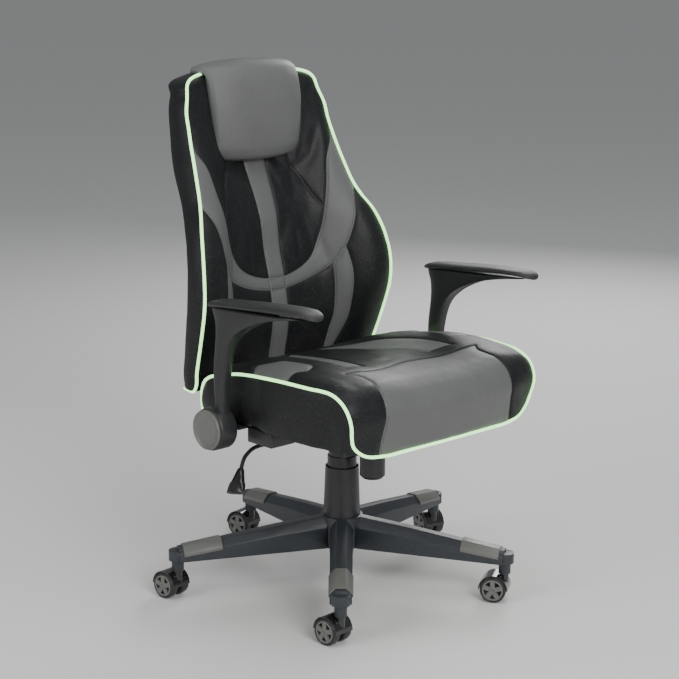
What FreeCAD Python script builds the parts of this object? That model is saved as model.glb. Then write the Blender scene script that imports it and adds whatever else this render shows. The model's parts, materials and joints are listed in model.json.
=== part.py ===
"""Gaming chair: a parametric FreeCAD document, in millimetres, +Z up.

The origin is on the floor under the gas lift.  The chair faces -Y, so the sitter's left is +X.
Driving dimensions are in the sheet Sizes; every sub-part is an object of the document bound to them.
"""
import FreeCAD, Part
import math
import os
import re
import Sketcher

os.makedirs("parts", exist_ok=True)
doc = FreeCAD.newDocument("gaming_chair")
Vector = FreeCAD.Vector
Rotation = FreeCAD.Rotation

# ---------------------------------------------------------------- driving dimensions
SIZES = [
    # five-legged base
    ("leg_reach", 351.0, "hub axis to caster stem"),
    ("leg_start_angle", -133.9, "direction of the first leg, degrees from +X"),
    ("leg_root_width", 48.0, "leg width at the hub"),
    ("leg_tip_width", 43.0, "leg width at the caster"),
    ("leg_ridge_width", 19.0, "flat on top of a leg"),
    ("leg_underside", 82.0, "height of the legs' lower edge"),
    ("leg_root_top", 148.0, "height of the ridge at the hub"),
    ("leg_knee_top", 137.0, "height of the ridge at the knee"),
    ("leg_tip_top", 109.0, "height of the ridge at the caster"),
    ("leg_root_slope", 21.0, "drop from ridge to side at the hub"),
    ("leg_tip_slope", 12.0, "drop from ridge to side at the caster"),
    ("knee_radius", 140.0, "hub axis to knee"),
    ("leg_wall", 4.5, "moulded wall of a leg"),
    ("hub_wall", 19.0, "wall of the hub round the tube"),
    ("socket_wall", 7.0, "wall round a caster stem"),
    ("swivel_gap", 2.0, "caster hood to the stem socket's mouth"),
    ("leg_nose", 18.5, "radius of a leg's rounded end"),
    ("cover_start", 262.0, "hub axis to the near edge of a foot cover"),
    ("cover_length", 80.0, "length of a foot cover"),
    ("cover_wall", 2.4, "wall of a foot cover"),
    ("cover_skirt", 6.0, "foot cover below the leg's slope"),
    # casters
    ("wheel_radius", 27.0, "wheel"),
    ("wheel_width", 20.0, "one wheel's width"),
    ("wheel_shoulder", 3.0, "rounding of the tread"),
    ("wheel_gap", 6.0, "caster centre to a wheel's inner face"),
    ("hubcap_radius", 22.0, "spoked disc"),
    ("hubcap_thickness", 3.0, "spoked disc"),
    ("axle_radius", 3.0, "wheel axle"),
    ("stem_radius", 5.5, "steel stem"),
    ("stem_grip", 36.0, "length of stem held in the leg"),
    ("caster_trail", 20.0, "stem axis to axle"),
    ("hood_gap", 1.3, "hood to tread"),
    ("hood_wall", 2.2, "hood"),
    ("web_thickness", 8.0, "web between the wheels"),
    ("run_gap", 0.05, "radial clearance of a running fit"),
    ("front_right_turn", 3.2, "caster heading, degrees"),
    ("front_left_turn", 31.7, "caster heading, degrees"),
    ("left_turn", -15.8, "caster heading, degrees"),
    ("rear_turn", 12.6, "caster heading, degrees"),
    ("right_turn", 6.2, "caster heading, degrees"),
    # gas lift
    ("tube_radius", 25.0, "outer tube"),
    ("tube_wall", 2.0, "outer tube"),
    ("tube_bottom", 62.0, "height of the tube's foot"),
    ("tube_length", 200.0, "outer tube"),
    ("foot_plate", 4.0, "closed foot of the tube"),
    ("bush_length", 72.0, "guide bush"),
    ("bearing_radius", 12.0, "thrust bearing"),
    ("bearing_height", 6.0, "thrust bearing"),
    ("rod_radius", 5.0, "piston rod"),
    ("rod_length", 164.0, "piston rod above the bearing"),
    ("piston_height", 15.0, "piston"),
    ("lift_radius", 14.0, "pressure cylinder"),
    ("lift_wall", 1.5, "pressure cylinder"),
    ("lift_bottom", 100.0, "height of the cylinder's foot"),
    ("cover_skin", 1.8, "wall of the column covers"),
    ("cover_flare", 3.5, "lower cover, wider at the hub than at its top"),
    ("lower_cover_height", 105.0, "lower cover"),
    ("middle_cover_gap", 2.7, "lower to middle cover"),
    ("middle_cover_foot", 158.0, "height of its foot"),
    ("middle_cover_height", 118.0, "middle cover"),
    ("upper_cover_gap", 0.7, "middle to upper cover"),
    ("tube_cover_gap", 1.2, "upper cover to the outer tube"),
    ("upper_cover_height", 148.0, "upper cover"),
    # tilt mechanism
    ("tray_bottom", 318.0, "height of the pressed tray"),
    ("tray_height", 42.0, "pressed tray at its front"),
    ("tray_half_width", 63.0, "pressed tray"),
    ("tray_skin", 3.0, "pressed tray"),
    ("tray_front", 125.0, "column axis to the tray's front"),
    ("tray_rear", 50.0, "column axis to the tray's rear"),
    ("tray_rear_height", 30.0, "pressed tray at its rear"),
    ("tilt_forward", 55.0, "column axis to the tilt pin"),
    ("tilt_rise", 34.0, "tray bottom to the tilt pin"),
    ("tilt_pin_radius", 6.0, "tilt pin"),
    ("socket_skin", 4.0, "cone socket round the cylinder"),
    ("lift_into_tray", 20.0, "cylinder above the tray's bottom"),
    ("bolt_forward", 90.0, "column axis to the tension bolt"),
    ("bolt_radius", 5.0, "tension bolt"),
    ("bolt_head_radius", 13.0, "tension bolt"),
    ("bolt_head_height", 5.0, "tension bolt"),
    ("rock_gap", 3.0, "bolt head above the plate's strap"),
    ("strap_gap", 4.0, "hole in the strap round the bolt"),
    ("strap_width", 20.0, "plate's strap"),
    ("strap_rise", 38.0, "tray bottom to the strap"),
    ("knob_radius", 26.0, "tension knob"),
    ("knob_height", 51.0, "tension knob"),
    ("knob_wall", 6.0, "tension knob"),
    ("knob_drop", 20.0, "tray bottom to the knob's rim"),
    ("spring_radius", 15.0, "tension spring, to the wire's centre"),
    ("spring_wire", 3.0, "tension spring"),
    ("spring_coils", 6.0, "tension spring"),
    ("lever_radius", 4.0, "lever rod"),
    ("lever_rise", 34.0, "tray bottom to the lever's inner run"),
    ("lever_drop", 16.0, "inner run to outer run of the lever"),
    ("lever_slant", 34.0, "length over which it drops"),
    ("lever_reach", 235.0, "column axis to the outer bend"),
    ("paddle_length", 60.0, "lever paddle"),
    ("paddle_neck", 15.0, "paddle width at the rod"),
    ("paddle_end", 30.0, "paddle width at its end"),
    ("paddle_thickness", 8.0, "lever paddle"),
    ("slider_length", 22.0, "tilt lock slider"),
    ("slider_half_width", 8.0, "tilt lock slider"),
    ("slider_play", 0.3, "slider in its slot"),
    ("valve_radius", 3.0, "valve pin"),
    ("valve_gap", 0.8, "valve pin to the lever"),
    # seat frame
    ("plate_rise", 60.0, "tray bottom to the seat plate"),
    ("plate_thickness", 6.0, "seat plate and bars"),
    ("plate_half_width", 105.0, "seat plate"),
    ("plate_front", 130.0, "column axis to its front"),
    ("plate_rear", 90.0, "column axis to its rear"),
    ("ear_inset", 4.0, "tray wall to the plate's ear"),
    ("pan_thickness", 12.0, "seat pan"),
    ("pan_side_inset", 44.0, "cushion's side to the pan"),
    ("pan_front_inset", 44.0, "front roll to the pan"),
    ("pan_rear_inset", 8.0, "cushion's rear to the pan"),
    ("screw_radius", 3.0, "frame screw"),
    ("screw_head_radius", 6.0, "frame screw"),
    ("screw_head_height", 4.0, "frame screw"),
    ("controller_width", 62.0, "light controller"),
    ("controller_depth", 70.0, "light controller"),
    ("controller_height", 28.0, "light controller"),
    ("controller_inset", 36.0, "pan's side to the controller's near face"),
    ("inlet_radius", 2.8, "power inlet"),
    ("inlet_depth", 9.0, "power inlet"),
    # seat cushion
    ("seat_half_width", 280.0, "across the side bolsters, half"),
    ("seat_front", 294.0, "column axis to the front roll"),
    ("seat_bulge", 24.0, "crown of the front roll"),
    ("seat_rear", 168.0, "column axis to the rear"),
    ("seat_top", 502.0, "height of the seat's piping"),
    ("apron_drop", 22.0, "pan's underside to the apron's edge"),
    ("piping_radius", 3.2, "light piping"),
    # back
    ("back_half_width", 261.0, "across the lumbar bolsters, half"),
    ("back_bottom", 418.0, "height of the back's lower edge"),
    ("back_shoulder", 1037.0, "height of the shoulders"),
    ("back_foot", 178.0, "column axis to the front face at the bottom"),
    ("back_hollow", 83.0, "bolster's edge to the back's middle, at its deepest"),
    ("back_core", 45.0, "thickness at the middle"),
    ("board_thickness", 10.0, "back board"),
    ("headrest_height", 1075.0, "height of the headrest's top"),
    ("headrest_half_width", 120.0, "headrest pad, half"),
    ("bracket_width", 40.0, "back bracket"),
    ("bracket_inset", 111.0, "back's side to a back bracket"),
    ("bracket_top", 587.0, "height of a back bracket"),
    # arms
    ("arm_inset", 18.0, "hub's inner face to the middle of an arm"),
    ("arm_thickness", 28.0, "arm frame"),
    ("arm_pivot_back", 40.0, "column axis to the arm pivot"),
    ("arm_pivot_height", 383.0, "arm pivot"),
    ("arm_hub_radius", 43.0, "arm hub"),
    ("arm_hub_width", 42.0, "arm hub"),
    ("arm_hub_gap", 4.0, "arm hub to the cushion's widest point"),
    ("arm_cap_radius", 40.0, "grey disc on the hub"),
    ("arm_cap_height", 6.0, "grey disc on the hub"),
    ("arm_top_height", 650.0, "underside of the pad at its front"),
    ("arm_fall", 23.0, "fall of the pad from front to rear"),
    ("arm_pad_width", 60.0, "arm pad"),
    ("arm_pad_thickness", 12.0, "arm pad"),
    ("arm_pad_front", 252.0, "column axis to the pad's front"),
    ("arm_pad_rear", 52.0, "column axis to the pad's rear"),
    ("pivot_radius", 8.0, "arm pivot bolt"),
    ("pivot_head_radius", 13.0, "arm pivot bolt"),
    ("pivot_head_height", 5.0, "arm pivot bolt"),
]

sheet = doc.addObject("Spreadsheet::Sheet", "Sizes")
for row, (alias, value, note) in enumerate(SIZES, start=1):
    sheet.set("A%d" % row, alias)
    sheet.set("B%d" % row, str(value))
    sheet.set("C%d" % row, note)
    sheet.setAlias("B%d" % row, alias)
doc.recompute()
ALIASES = {alias for alias, _, _ in SIZES}
WORD = re.compile(r"[A-Za-z_]\w*")


def bound(text):
    """The expression with each size's name pointing at its cell."""
    return WORD.sub(lambda m: "Sizes." + m.group(0) if m.group(0) in ALIASES else m.group(0), str(text))


def size(alias):
    """A size's value, for the few pieces whose shape is computed in code."""
    return float(sheet.get(alias))


# ---------------------------------------------------------------- makers
FACING = {
    "+Z": Rotation(),
    "+X": Rotation(Vector(0, 1, 0), 90),
    "+Y": Rotation(Vector(1, 0, 0), -90),
}


def put(obj, at, turn=None):
    """Bind an object's place, and its turn about Z, to the sheet."""
    for axis, text in zip("xyz", at):
        obj.setExpression("Placement.Base." + axis, bound(text))
    if turn is not None:
        obj.Placement.Rotation = Rotation(Vector(0, 0, 1), 1)
        obj.setExpression("Placement.Rotation.Angle", "(%s) * 1 deg" % bound(turn))
    return obj


def cylinder(name, radius, length, at, facing="+Z"):
    obj = doc.addObject("Part::Cylinder", name)
    obj.setExpression("Radius", bound(radius))
    obj.setExpression("Height", bound(length))
    obj.Placement = FreeCAD.Placement(Vector(), FACING[facing])
    return put(obj, at)


def box(name, low, high):
    obj = doc.addObject("Part::Box", name)
    for prop, a, b in zip(("Length", "Width", "Height"), low, high):
        obj.setExpression(prop, bound("(%s) - (%s)" % (b, a)))
    return put(obj, low)


def cut(name, base, *tools):
    for count, tool in enumerate(tools):
        last = count == len(tools) - 1
        obj = doc.addObject("Part::Cut", name if last else name + "_step")
        obj.Base, obj.Tool = base, tool
        base = obj
    return base


def fuse(name, *pieces):
    obj = doc.addObject("Part::MultiFuse", name)
    obj.Shapes = list(pieces)
    return obj


def common(name, *pieces):
    obj = doc.addObject("Part::MultiCommon", name)
    obj.Shapes = list(pieces)
    return obj


def group(name, *pieces):
    """Separate solids that share one node."""
    obj = doc.addObject("Part::Compound", name)
    obj.Links = list(pieces)
    return obj


def new_body(name):
    body = doc.addObject("PartDesign::Body", name)
    body.AllowCompound = True
    return body


def draw(sketch, points):
    """A closed polygon whose corners are bound to the sheet."""
    count = len(points)
    spots = [Vector(math.cos(2 * math.pi * i / count), math.sin(2 * math.pi * i / count), 0)
             for i in range(count)]
    for i in range(count):
        sketch.addGeometry(Part.LineSegment(spots[i], spots[(i + 1) % count]))
    for i in range(count):
        sketch.addConstraint(Sketcher.Constraint("Coincident", i, 2, (i + 1) % count, 1))
    for i, (across, up) in enumerate(points):
        for kind, text in (("DistanceX", across), ("DistanceY", up)):
            index = sketch.addConstraint(Sketcher.Constraint(kind, -1, 1, i, 1, 1.0))
            sketch.setExpression("Constraints[%d]" % index, bound(text))
    return sketch


def sketch_on(body, role, points, name, lift=None):
    """A polygon sketch on one of the body's own origin planes."""
    plane = [o for o in body.Origin.OriginFeatures if o.Role == role][0]
    sketch = body.newObject("Sketcher::SketchObject", name)
    sketch.AttachmentSupport = [(plane, "")]
    sketch.MapMode = "FlatFace"
    if lift is not None:
        sketch.setExpression("AttachmentOffset.Base.z", bound(lift))
    return draw(sketch, points)


def revolved(name, points, axis="V_Axis"):
    """A Body turned from a half-section in the XZ plane."""
    body = new_body(name)
    sketch = sketch_on(body, "XZ_Plane", points, name + "_section")
    turned = body.newObject("PartDesign::Revolution", name + "_turned")
    turned.Profile = sketch
    turned.ReferenceAxis = (sketch, [axis])
    turned.Angle = 360
    sketch.Visibility = False
    return body


def slab(name, role, points, thickness, lift=None, middle=True):
    """A Body padded from an outline."""
    body = new_body(name)
    sketch = sketch_on(body, role, points, name + "_outline", lift)
    pad = body.newObject("PartDesign::Pad", name + "_pad")
    pad.Profile = sketch
    pad.Midplane = middle
    pad.setExpression("Length", bound(thickness))
    return body


def ring(inner, outer, low, high):
    return [(inner, low), (outer, low), (outer, high), (inner, high)]


def mirrored(half):
    """A symmetric outline from its right half, given from bottom to top."""
    return half + [("-(%s)" % across, up) for across, up in reversed(half)]


# ---------------------------------------------------------------- five-legged base
SKIRT = "skirt"


def leg_section(radius_name, grow="0", floor="leg_underside"):
    """A leg's section at the root, knee or tip: a ridge with two slopes and upright sides."""
    knee = "(knee_radius / leg_reach)"
    width = {"root": "leg_root_width", "tip": "leg_tip_width",
             "knee": "(leg_root_width + (leg_tip_width - leg_root_width) * %s)" % knee}[radius_name]
    slope = {"root": "leg_root_slope", "tip": "leg_tip_slope",
             "knee": "(leg_root_slope + (leg_tip_slope - leg_root_slope) * %s)" % knee}[radius_name]
    top = "leg_%s_top" % radius_name
    half = "(%s) / 2 + (%s)" % (width, grow)
    ridge = "leg_ridge_width / 2 + (%s) / 2" % grow
    side = "%s - %s + (%s) / 2" % (top, slope, grow)
    peak = "%s + (%s)" % (top, grow)
    if floor == SKIRT:
        floor = "%s - cover_skirt" % side
    return [("-(%s)" % half, floor), (half, floor), (half, side), (ridge, peak),
            ("-(%s)" % ridge, peak), ("-(%s)" % half, side)]


SOCKET_BOTTOM = "(2 * wheel_radius + hood_gap + hood_wall + swivel_gap)"
STATIONS = [("root", "tube_radius + hub_wall - leg_wall"), ("knee", "knee_radius"), ("tip", "leg_reach")]


def leg_loft(body, kind, name, grow, stations, floor="leg_underside"):
    """A ruled loft through a leg's sections, added to or taken from the body."""
    sections = [sketch_on(body, "YZ_Plane", leg_section(station, grow, floor), "%s_%s" % (name, station),
                          lift)
                for station, lift in stations]
    loft = body.newObject("PartDesign::" + kind, name)
    loft.Profile = sections[0]
    loft.Sections = sections[1:]
    loft.Ruled = True
    return loft


def round_pattern(body, features, name):
    """Repeat features for the five legs."""
    pattern = body.newObject("PartDesign::PolarPattern", name)
    pattern.Originals = features
    pattern.Axis = ([o for o in body.Origin.OriginFeatures if o.Role == "Z_Axis"][0], [""])
    pattern.Angle = 360
    pattern.Occurrences = LEG_COUNT
    body.Tip = pattern
    return pattern


def disc(body, kind, name, radius, out, low, length):
    """A round pad or pocket that stands on a level, a distance out along the body's X axis."""
    plane = [o for o in body.Origin.OriginFeatures if o.Role == "XY_Plane"][0]
    sketch = body.newObject("Sketcher::SketchObject", name + "_circle")
    sketch.AttachmentSupport = [(plane, "")]
    sketch.MapMode = "FlatFace"
    sketch.setExpression("AttachmentOffset.Base.z", bound(low))
    sketch.addGeometry(Part.Circle(Vector(), Vector(0, 0, 1), 5.0))
    for number, (constraint, text) in enumerate((
            (Sketcher.Constraint("Radius", 0, 5.0), radius),
            (Sketcher.Constraint("DistanceX", -1, 1, 0, 3, 0.0), out),
            (Sketcher.Constraint("DistanceY", -1, 1, 0, 3, 0.0), "0"))):
        sketch.addConstraint(constraint)
        sketch.setExpression("Constraints[%d]" % number, bound(text))
    feature = body.newObject("PartDesign::" + kind, name)
    feature.Profile = sketch
    feature.setExpression("Length", bound(length))
    feature.Reversed = kind == "Pocket"
    return feature


def on_leg(radius, away="0"):
    """A place on the first leg's line, as an expression for X and Y."""
    return ("(%s) * cos((leg_start_angle + %s) * 1 deg)" % (radius, away),
            "(%s) * sin((leg_start_angle + %s) * 1 deg)" % (radius, away))


def turned_copy(name, source, angle):
    """A linked copy of a shape, turned about Z."""
    copy = doc.addObject("Part::Compound", name)
    copy.Links = [source]
    return put(copy, ("0", "0", "0"), angle)


LEG_COUNT = 5
LEG_STEP = 360 // LEG_COUNT
base_star = put(new_body("base_star"), ("0", "0", "0"), "leg_start_angle")
disc(base_star, "Pad", "hub", "tube_radius + hub_wall", "0", "leg_underside", "leg_root_top - leg_underside")
round_pattern(base_star, [
    leg_loft(base_star, "AdditiveLoft", "leg_outside", "0", STATIONS),
    disc(base_star, "Pad", "nose", "leg_nose", "leg_reach", "leg_underside",
         "leg_tip_top - leg_tip_slope / 2 - leg_underside"),
    disc(base_star, "Pad", "boss", "stem_radius + socket_wall", "leg_reach", SOCKET_BOTTOM,
         "leg_underside - %s + 1" % SOCKET_BOTTOM)], "legs")
round_pattern(base_star, [
    leg_loft(base_star, "SubtractiveLoft", "leg_inside", "-leg_wall", [
        ("root", "tube_radius + hub_wall"), ("knee", "knee_radius"), ("tip", "leg_reach - leg_nose")],
        "leg_underside - leg_wall"),
    disc(base_star, "Pocket", "stem_socket", "stem_radius + run_gap", "leg_reach", SOCKET_BOTTOM,
         "stem_grip + 1")], "leg_openings")
disc(base_star, "Pocket", "hub_bore", "tube_radius", "0", "leg_underside", "leg_root_top - leg_underside")

# A foot cover is a saddle over the outer stretch of a leg.
cover_shell = new_body("cover_shell")
leg_loft(cover_shell, "AdditiveLoft", "cover_outside", "cover_wall", STATIONS, SKIRT)
cover_band = box("cover_band", ("cover_start", "-leg_root_width", "leg_underside"),
                 ("cover_start + cover_length", "leg_root_width", "leg_root_top"))
leg_form = new_body("leg_form")
leg_loft(leg_form, "AdditiveLoft", "leg_form_loft", "0", STATIONS)
saddle = cut("saddle", common("saddle_outside", cover_shell, cover_band), leg_form)
foot_covers = group("foot_covers", *[
    turned_copy("saddle_%d" % leg, saddle,
                "leg_start_angle + %d" % (LEG_STEP * leg)) for leg in range(LEG_COUNT)])

# ---------------------------------------------------------------- gas lift and column covers
TUBE_TOP = "(tube_bottom + tube_length)"
BORE = "(tube_radius - tube_wall)"
lift_outer_tube = revolved("lift_outer_tube", [
    ("rod_radius + run_gap", "tube_bottom"), ("tube_radius", "tube_bottom"), ("tube_radius", TUBE_TOP),
    (BORE, TUBE_TOP), (BORE, "tube_bottom + foot_plate"),
    ("rod_radius + run_gap", "tube_bottom + foot_plate")])
lift_guide_bush = revolved("lift_guide_bush",
                           ring("lift_radius + run_gap", BORE, TUBE_TOP + " - bush_length", TUBE_TOP))
BEARING_TOP = "(tube_bottom + foot_plate + bearing_height)"
lift_thrust_bearing = revolved("lift_thrust_bearing", ring(
    "rod_radius + run_gap", "bearing_radius", "tube_bottom + foot_plate", BEARING_TOP))
ROD_TOP = "(%s + rod_length)" % BEARING_TOP
CLIP = "foot_plate / 2"
lift_piston_rod = revolved("lift_piston_rod", [
    ("0", "tube_bottom - 2 * (%s)" % CLIP), ("rod_radius + foot_plate", "tube_bottom - 2 * (%s)" % CLIP),
    ("rod_radius + foot_plate", "tube_bottom - 0.3"), ("rod_radius", "tube_bottom - 0.3"),
    ("rod_radius", BEARING_TOP), ("bearing_radius", BEARING_TOP),
    ("bearing_radius", BEARING_TOP + " + foot_plate"), ("rod_radius", BEARING_TOP + " + foot_plate"),
    ("rod_radius", ROD_TOP + " - piston_height"),
    ("lift_radius - lift_wall - run_gap", ROD_TOP + " - piston_height"),
    ("lift_radius - lift_wall - run_gap", ROD_TOP), ("0", ROD_TOP)])
LIFT_TOP = "(tray_bottom + lift_into_tray)"
CAVITY = "(lift_radius - lift_wall)"
CAP = "lift_bottom + 8"
lift_cylinder = revolved("lift_cylinder", [
    ("rod_radius + run_gap", "lift_bottom"), ("lift_radius", "lift_bottom"), ("lift_radius", LIFT_TOP),
    ("0", LIFT_TOP), ("0", LIFT_TOP + " - foot_plate * 2"), (CAVITY, LIFT_TOP + " - foot_plate * 2"),
    (CAVITY, CAP), ("rod_radius + run_gap", CAP)])
VALVE_TOP = "(tray_bottom + lever_rise - lever_radius - valve_gap)"
VALVE_FOOT = "(%s - foot_plate)" % LIFT_TOP
lift_cylinder = cut("lift_cylinder_bored", lift_cylinder, cylinder(
    "valve_hole", "valve_radius + run_gap", "foot_plate * 2 + 2",
    ("0", "0", LIFT_TOP + " - foot_plate * 2 - 1")))
valve_pin = cylinder("valve_pin", "valve_radius", "%s - %s" % (VALVE_TOP, VALVE_FOOT), ("0", "0", VALVE_FOOT))

UPPER = "(tube_radius + tube_cover_gap + cover_skin)"
MIDDLE = "(%s + upper_cover_gap + cover_skin)" % UPPER
LOWER = "(%s + middle_cover_gap + cover_skin)" % MIDDLE
column_cover_lower = revolved("column_cover_lower", [
    (LOWER + " + cover_flare - cover_skin", "leg_root_top"), (LOWER + " + cover_flare", "leg_root_top"),
    (LOWER, "leg_root_top + lower_cover_height"),
    (LOWER + " - cover_skin", "leg_root_top + lower_cover_height")])
column_cover_middle = revolved("column_cover_middle", ring(
    MIDDLE + " - cover_skin", MIDDLE, "middle_cover_foot", "middle_cover_foot + middle_cover_height"))
column_cover_upper = revolved("column_cover_upper", ring(
    UPPER + " - cover_skin", UPPER, "tray_bottom - upper_cover_height", "tray_bottom"))

# ---------------------------------------------------------------- casters
AXLE_HEIGHT = "wheel_radius"
HOOD_INSIDE = "(wheel_radius + hood_gap)"
HOOD_HALF = "(wheel_gap + wheel_width - hubcap_thickness)"
STEM_FOOT = "(wheel_radius + axle_radius + 8)"


def caster(place, turn, leg):
    """One twin-wheel caster: hood, stem with axle, and two wheels with their spoked discs."""
    def at_stem(obj):
        x, y = on_leg("leg_reach", str(LEG_STEP * leg))
        return put(obj, (x, y, "0"), turn)

    name = "caster_%s_" % place
    barrel = cylinder(name + "barrel", HOOD_INSIDE + " + hood_wall", "2 * " + HOOD_HALF,
                      ("-" + HOOD_HALF, "caster_trail", AXLE_HEIGHT), "+X")
    room = cylinder(name + "room", HOOD_INSIDE, "2 * %s + 2" % HOOD_HALF,
                    ("-%s - 1" % HOOD_HALF, "caster_trail", AXLE_HEIGHT), "+X")
    below = box(name + "below", ("-wheel_radius - 9", "-3 * wheel_radius", "-wheel_radius"),
                ("wheel_radius + 9", "3 * wheel_radius", AXLE_HEIGHT))
    web = cylinder(name + "web", HOOD_INSIDE + " + 1", "web_thickness",
                   ("-web_thickness / 2", "caster_trail", AXLE_HEIGHT), "+X")
    keel = cylinder(name + "keel", "wheel_radius * 0.75", "web_thickness",
                    ("-web_thickness / 2", "caster_trail", AXLE_HEIGHT), "+X")
    post = cylinder(name + "post", "stem_radius + 3.5", SOCKET_BOTTOM + " - swivel_gap / 2 - wheel_radius",
                    ("0", "0", "wheel_radius"))
    roof = cut(name + "roof", barrel, room, below)
    upper_web = cut(name + "upper_web", web, box(
        name + "below_web", ("-wheel_radius", "-3 * wheel_radius", "-wheel_radius"),
        ("wheel_radius", "3 * wheel_radius", AXLE_HEIGHT)))
    wheel_room = []
    for side, low in (("left", "web_thickness / 2"), ("right", "-(wheel_gap + wheel_width)")):
        wheel_room.append(cylinder(name + side + "_room", HOOD_INSIDE,
                                   "wheel_gap + wheel_width - web_thickness / 2",
                                   (low, "caster_trail", AXLE_HEIGHT), "+X"))
    body = fuse(name + "moulding", roof, upper_web, keel, post)
    stem_bore = cylinder(name + "stem_bore", "stem_radius", SOCKET_BOTTOM, ("0", "0", STEM_FOOT))
    axle_bore = cylinder(name + "axle_bore", "axle_radius", "4 * wheel_radius",
                         ("-2 * wheel_radius", "caster_trail", AXLE_HEIGHT), "+X")
    hood = at_stem(cut(name + "hood", body, *wheel_room, stem_bore, axle_bore))
    stem = cylinder(name + "stem", "stem_radius", "%s + stem_grip - %s" % (SOCKET_BOTTOM, STEM_FOOT),
                    ("0", "0", STEM_FOOT))
    axle = cylinder(name + "axle", "axle_radius", "2 * (wheel_gap + wheel_width - hubcap_thickness - 1)",
                    ("-(wheel_gap + wheel_width - hubcap_thickness - 1)", "caster_trail", AXLE_HEIGHT), "+X")
    metal = at_stem(group(name + "stem_and_axle", stem, axle))
    found = {"hood": hood, "stem_and_axle": metal}
    for side, sign in (("outer_wheel", "-1"), ("inner_wheel", "1")):
        found[side] = caster_wheel(name + side, sign, turn, leg)
    return {name + key: obj for key, obj in found.items()}


def caster_wheel(name, sign, turn, leg):
    """A wheel with a disc set in its outer face, both turned about the axle."""
    outside = "wheel_gap + wheel_width"
    well = "(%s - hubcap_thickness)" % outside

    def side(points):
        return [("%s * (%s)" % (sign, across), up) for across, up in points]

    wheel = revolved(name + "_tread", side([
        ("wheel_gap", "axle_radius + run_gap"), ("wheel_gap", "wheel_radius - wheel_shoulder"),
        ("wheel_gap + wheel_shoulder", "wheel_radius"), (outside + " - wheel_shoulder", "wheel_radius"),
        (outside, "wheel_radius - wheel_shoulder"), (outside, "hubcap_radius"),
        (well, "hubcap_radius"), (well, "axle_radius + run_gap")]), "H_Axis")
    disc = revolved(name + "_disc", side([
        (well, "0"), (well, "hubcap_radius"), (outside, "hubcap_radius"), (outside, "hubcap_radius - 4"),
        (outside + " - 1.5", "hubcap_radius - 5"), (outside + " - 1.5", "7"), (outside + " + 1", "6"),
        (outside + " + 1", "0")]), "H_Axis")
    x, y = on_leg("leg_reach", str(LEG_STEP * leg))
    return put(group(name, wheel, disc), (
        "%s - caster_trail * sin(%s * 1 deg)" % (x, turn), "%s + caster_trail * cos(%s * 1 deg)" % (y, turn),
        AXLE_HEIGHT), turn)


CASTERS = ["front_right", "front_left", "left", "rear", "right"]
caster_parts = {}
for leg, place in enumerate(CASTERS):
    caster_parts.update(caster(place, place + "_turn", leg))

# ---------------------------------------------------------------- tilt mechanism
TRAY_TOP = "(tray_bottom + tray_height)"
tray_block = slab("tray_block", "YZ_Plane", [
    ("-tray_front", "tray_bottom"), ("tray_rear", "tray_bottom"),
    ("tray_rear", "tray_bottom + tray_rear_height"),
    ("-tilt_forward + tilt_pin_radius", TRAY_TOP), ("-tray_front", TRAY_TOP)], "2 * tray_half_width")
tray_room = box("tray_room", ("-tray_half_width + tray_skin", "-tray_front + tray_skin",
                              "tray_bottom + tray_skin"),
                ("tray_half_width - tray_skin", "tray_rear - tray_skin", TRAY_TOP + " + 1"))
lift_socket = cylinder("lift_socket", "lift_radius + socket_skin", "lift_into_tray - 1",
                       ("0", "0", "tray_bottom"))
lift_hole = cylinder("lift_hole", "lift_radius", "lift_into_tray + 2", ("0", "0", "tray_bottom - 1"))
bolt_hole = cylinder("bolt_hole", "bolt_radius + 0.5", "tray_skin + 2",
                     ("0", "-bolt_forward", "tray_bottom - 1"))
PIN_HEIGHT = "(tray_bottom + tilt_rise)"
PIN_LENGTH = "2 * (tray_half_width + tilt_pin_radius)"
PIN_PLACE = ("-(tray_half_width + tilt_pin_radius)", "-tilt_forward", PIN_HEIGHT)
pin_hole = cylinder("pin_hole", "tilt_pin_radius", PIN_LENGTH, PIN_PLACE, "+X")
SLIDER_LOW = "(tray_bottom + lever_rise - lever_radius - 3)"
SLIDER_HIGH = "(tray_bottom + lever_rise + lever_radius + 3)"
slider_slot = box("slider_slot", ("-tray_half_width - 1", "-slider_half_width - slider_play",
                                  SLIDER_LOW + " - slider_play"),
                  ("-tray_half_width + tray_skin + 1", "slider_half_width + slider_play", TRAY_TOP + " + 1"))
mechanism_housing = cut("mechanism_housing", fuse("tray_shell", cut("tray_open", tray_block, tray_room),
                                                  lift_socket),
                        lift_hole, bolt_hole, pin_hole, slider_slot)
tilt_pin = cylinder("tilt_pin", "tilt_pin_radius", PIN_LENGTH, PIN_PLACE, "+X")

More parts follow.
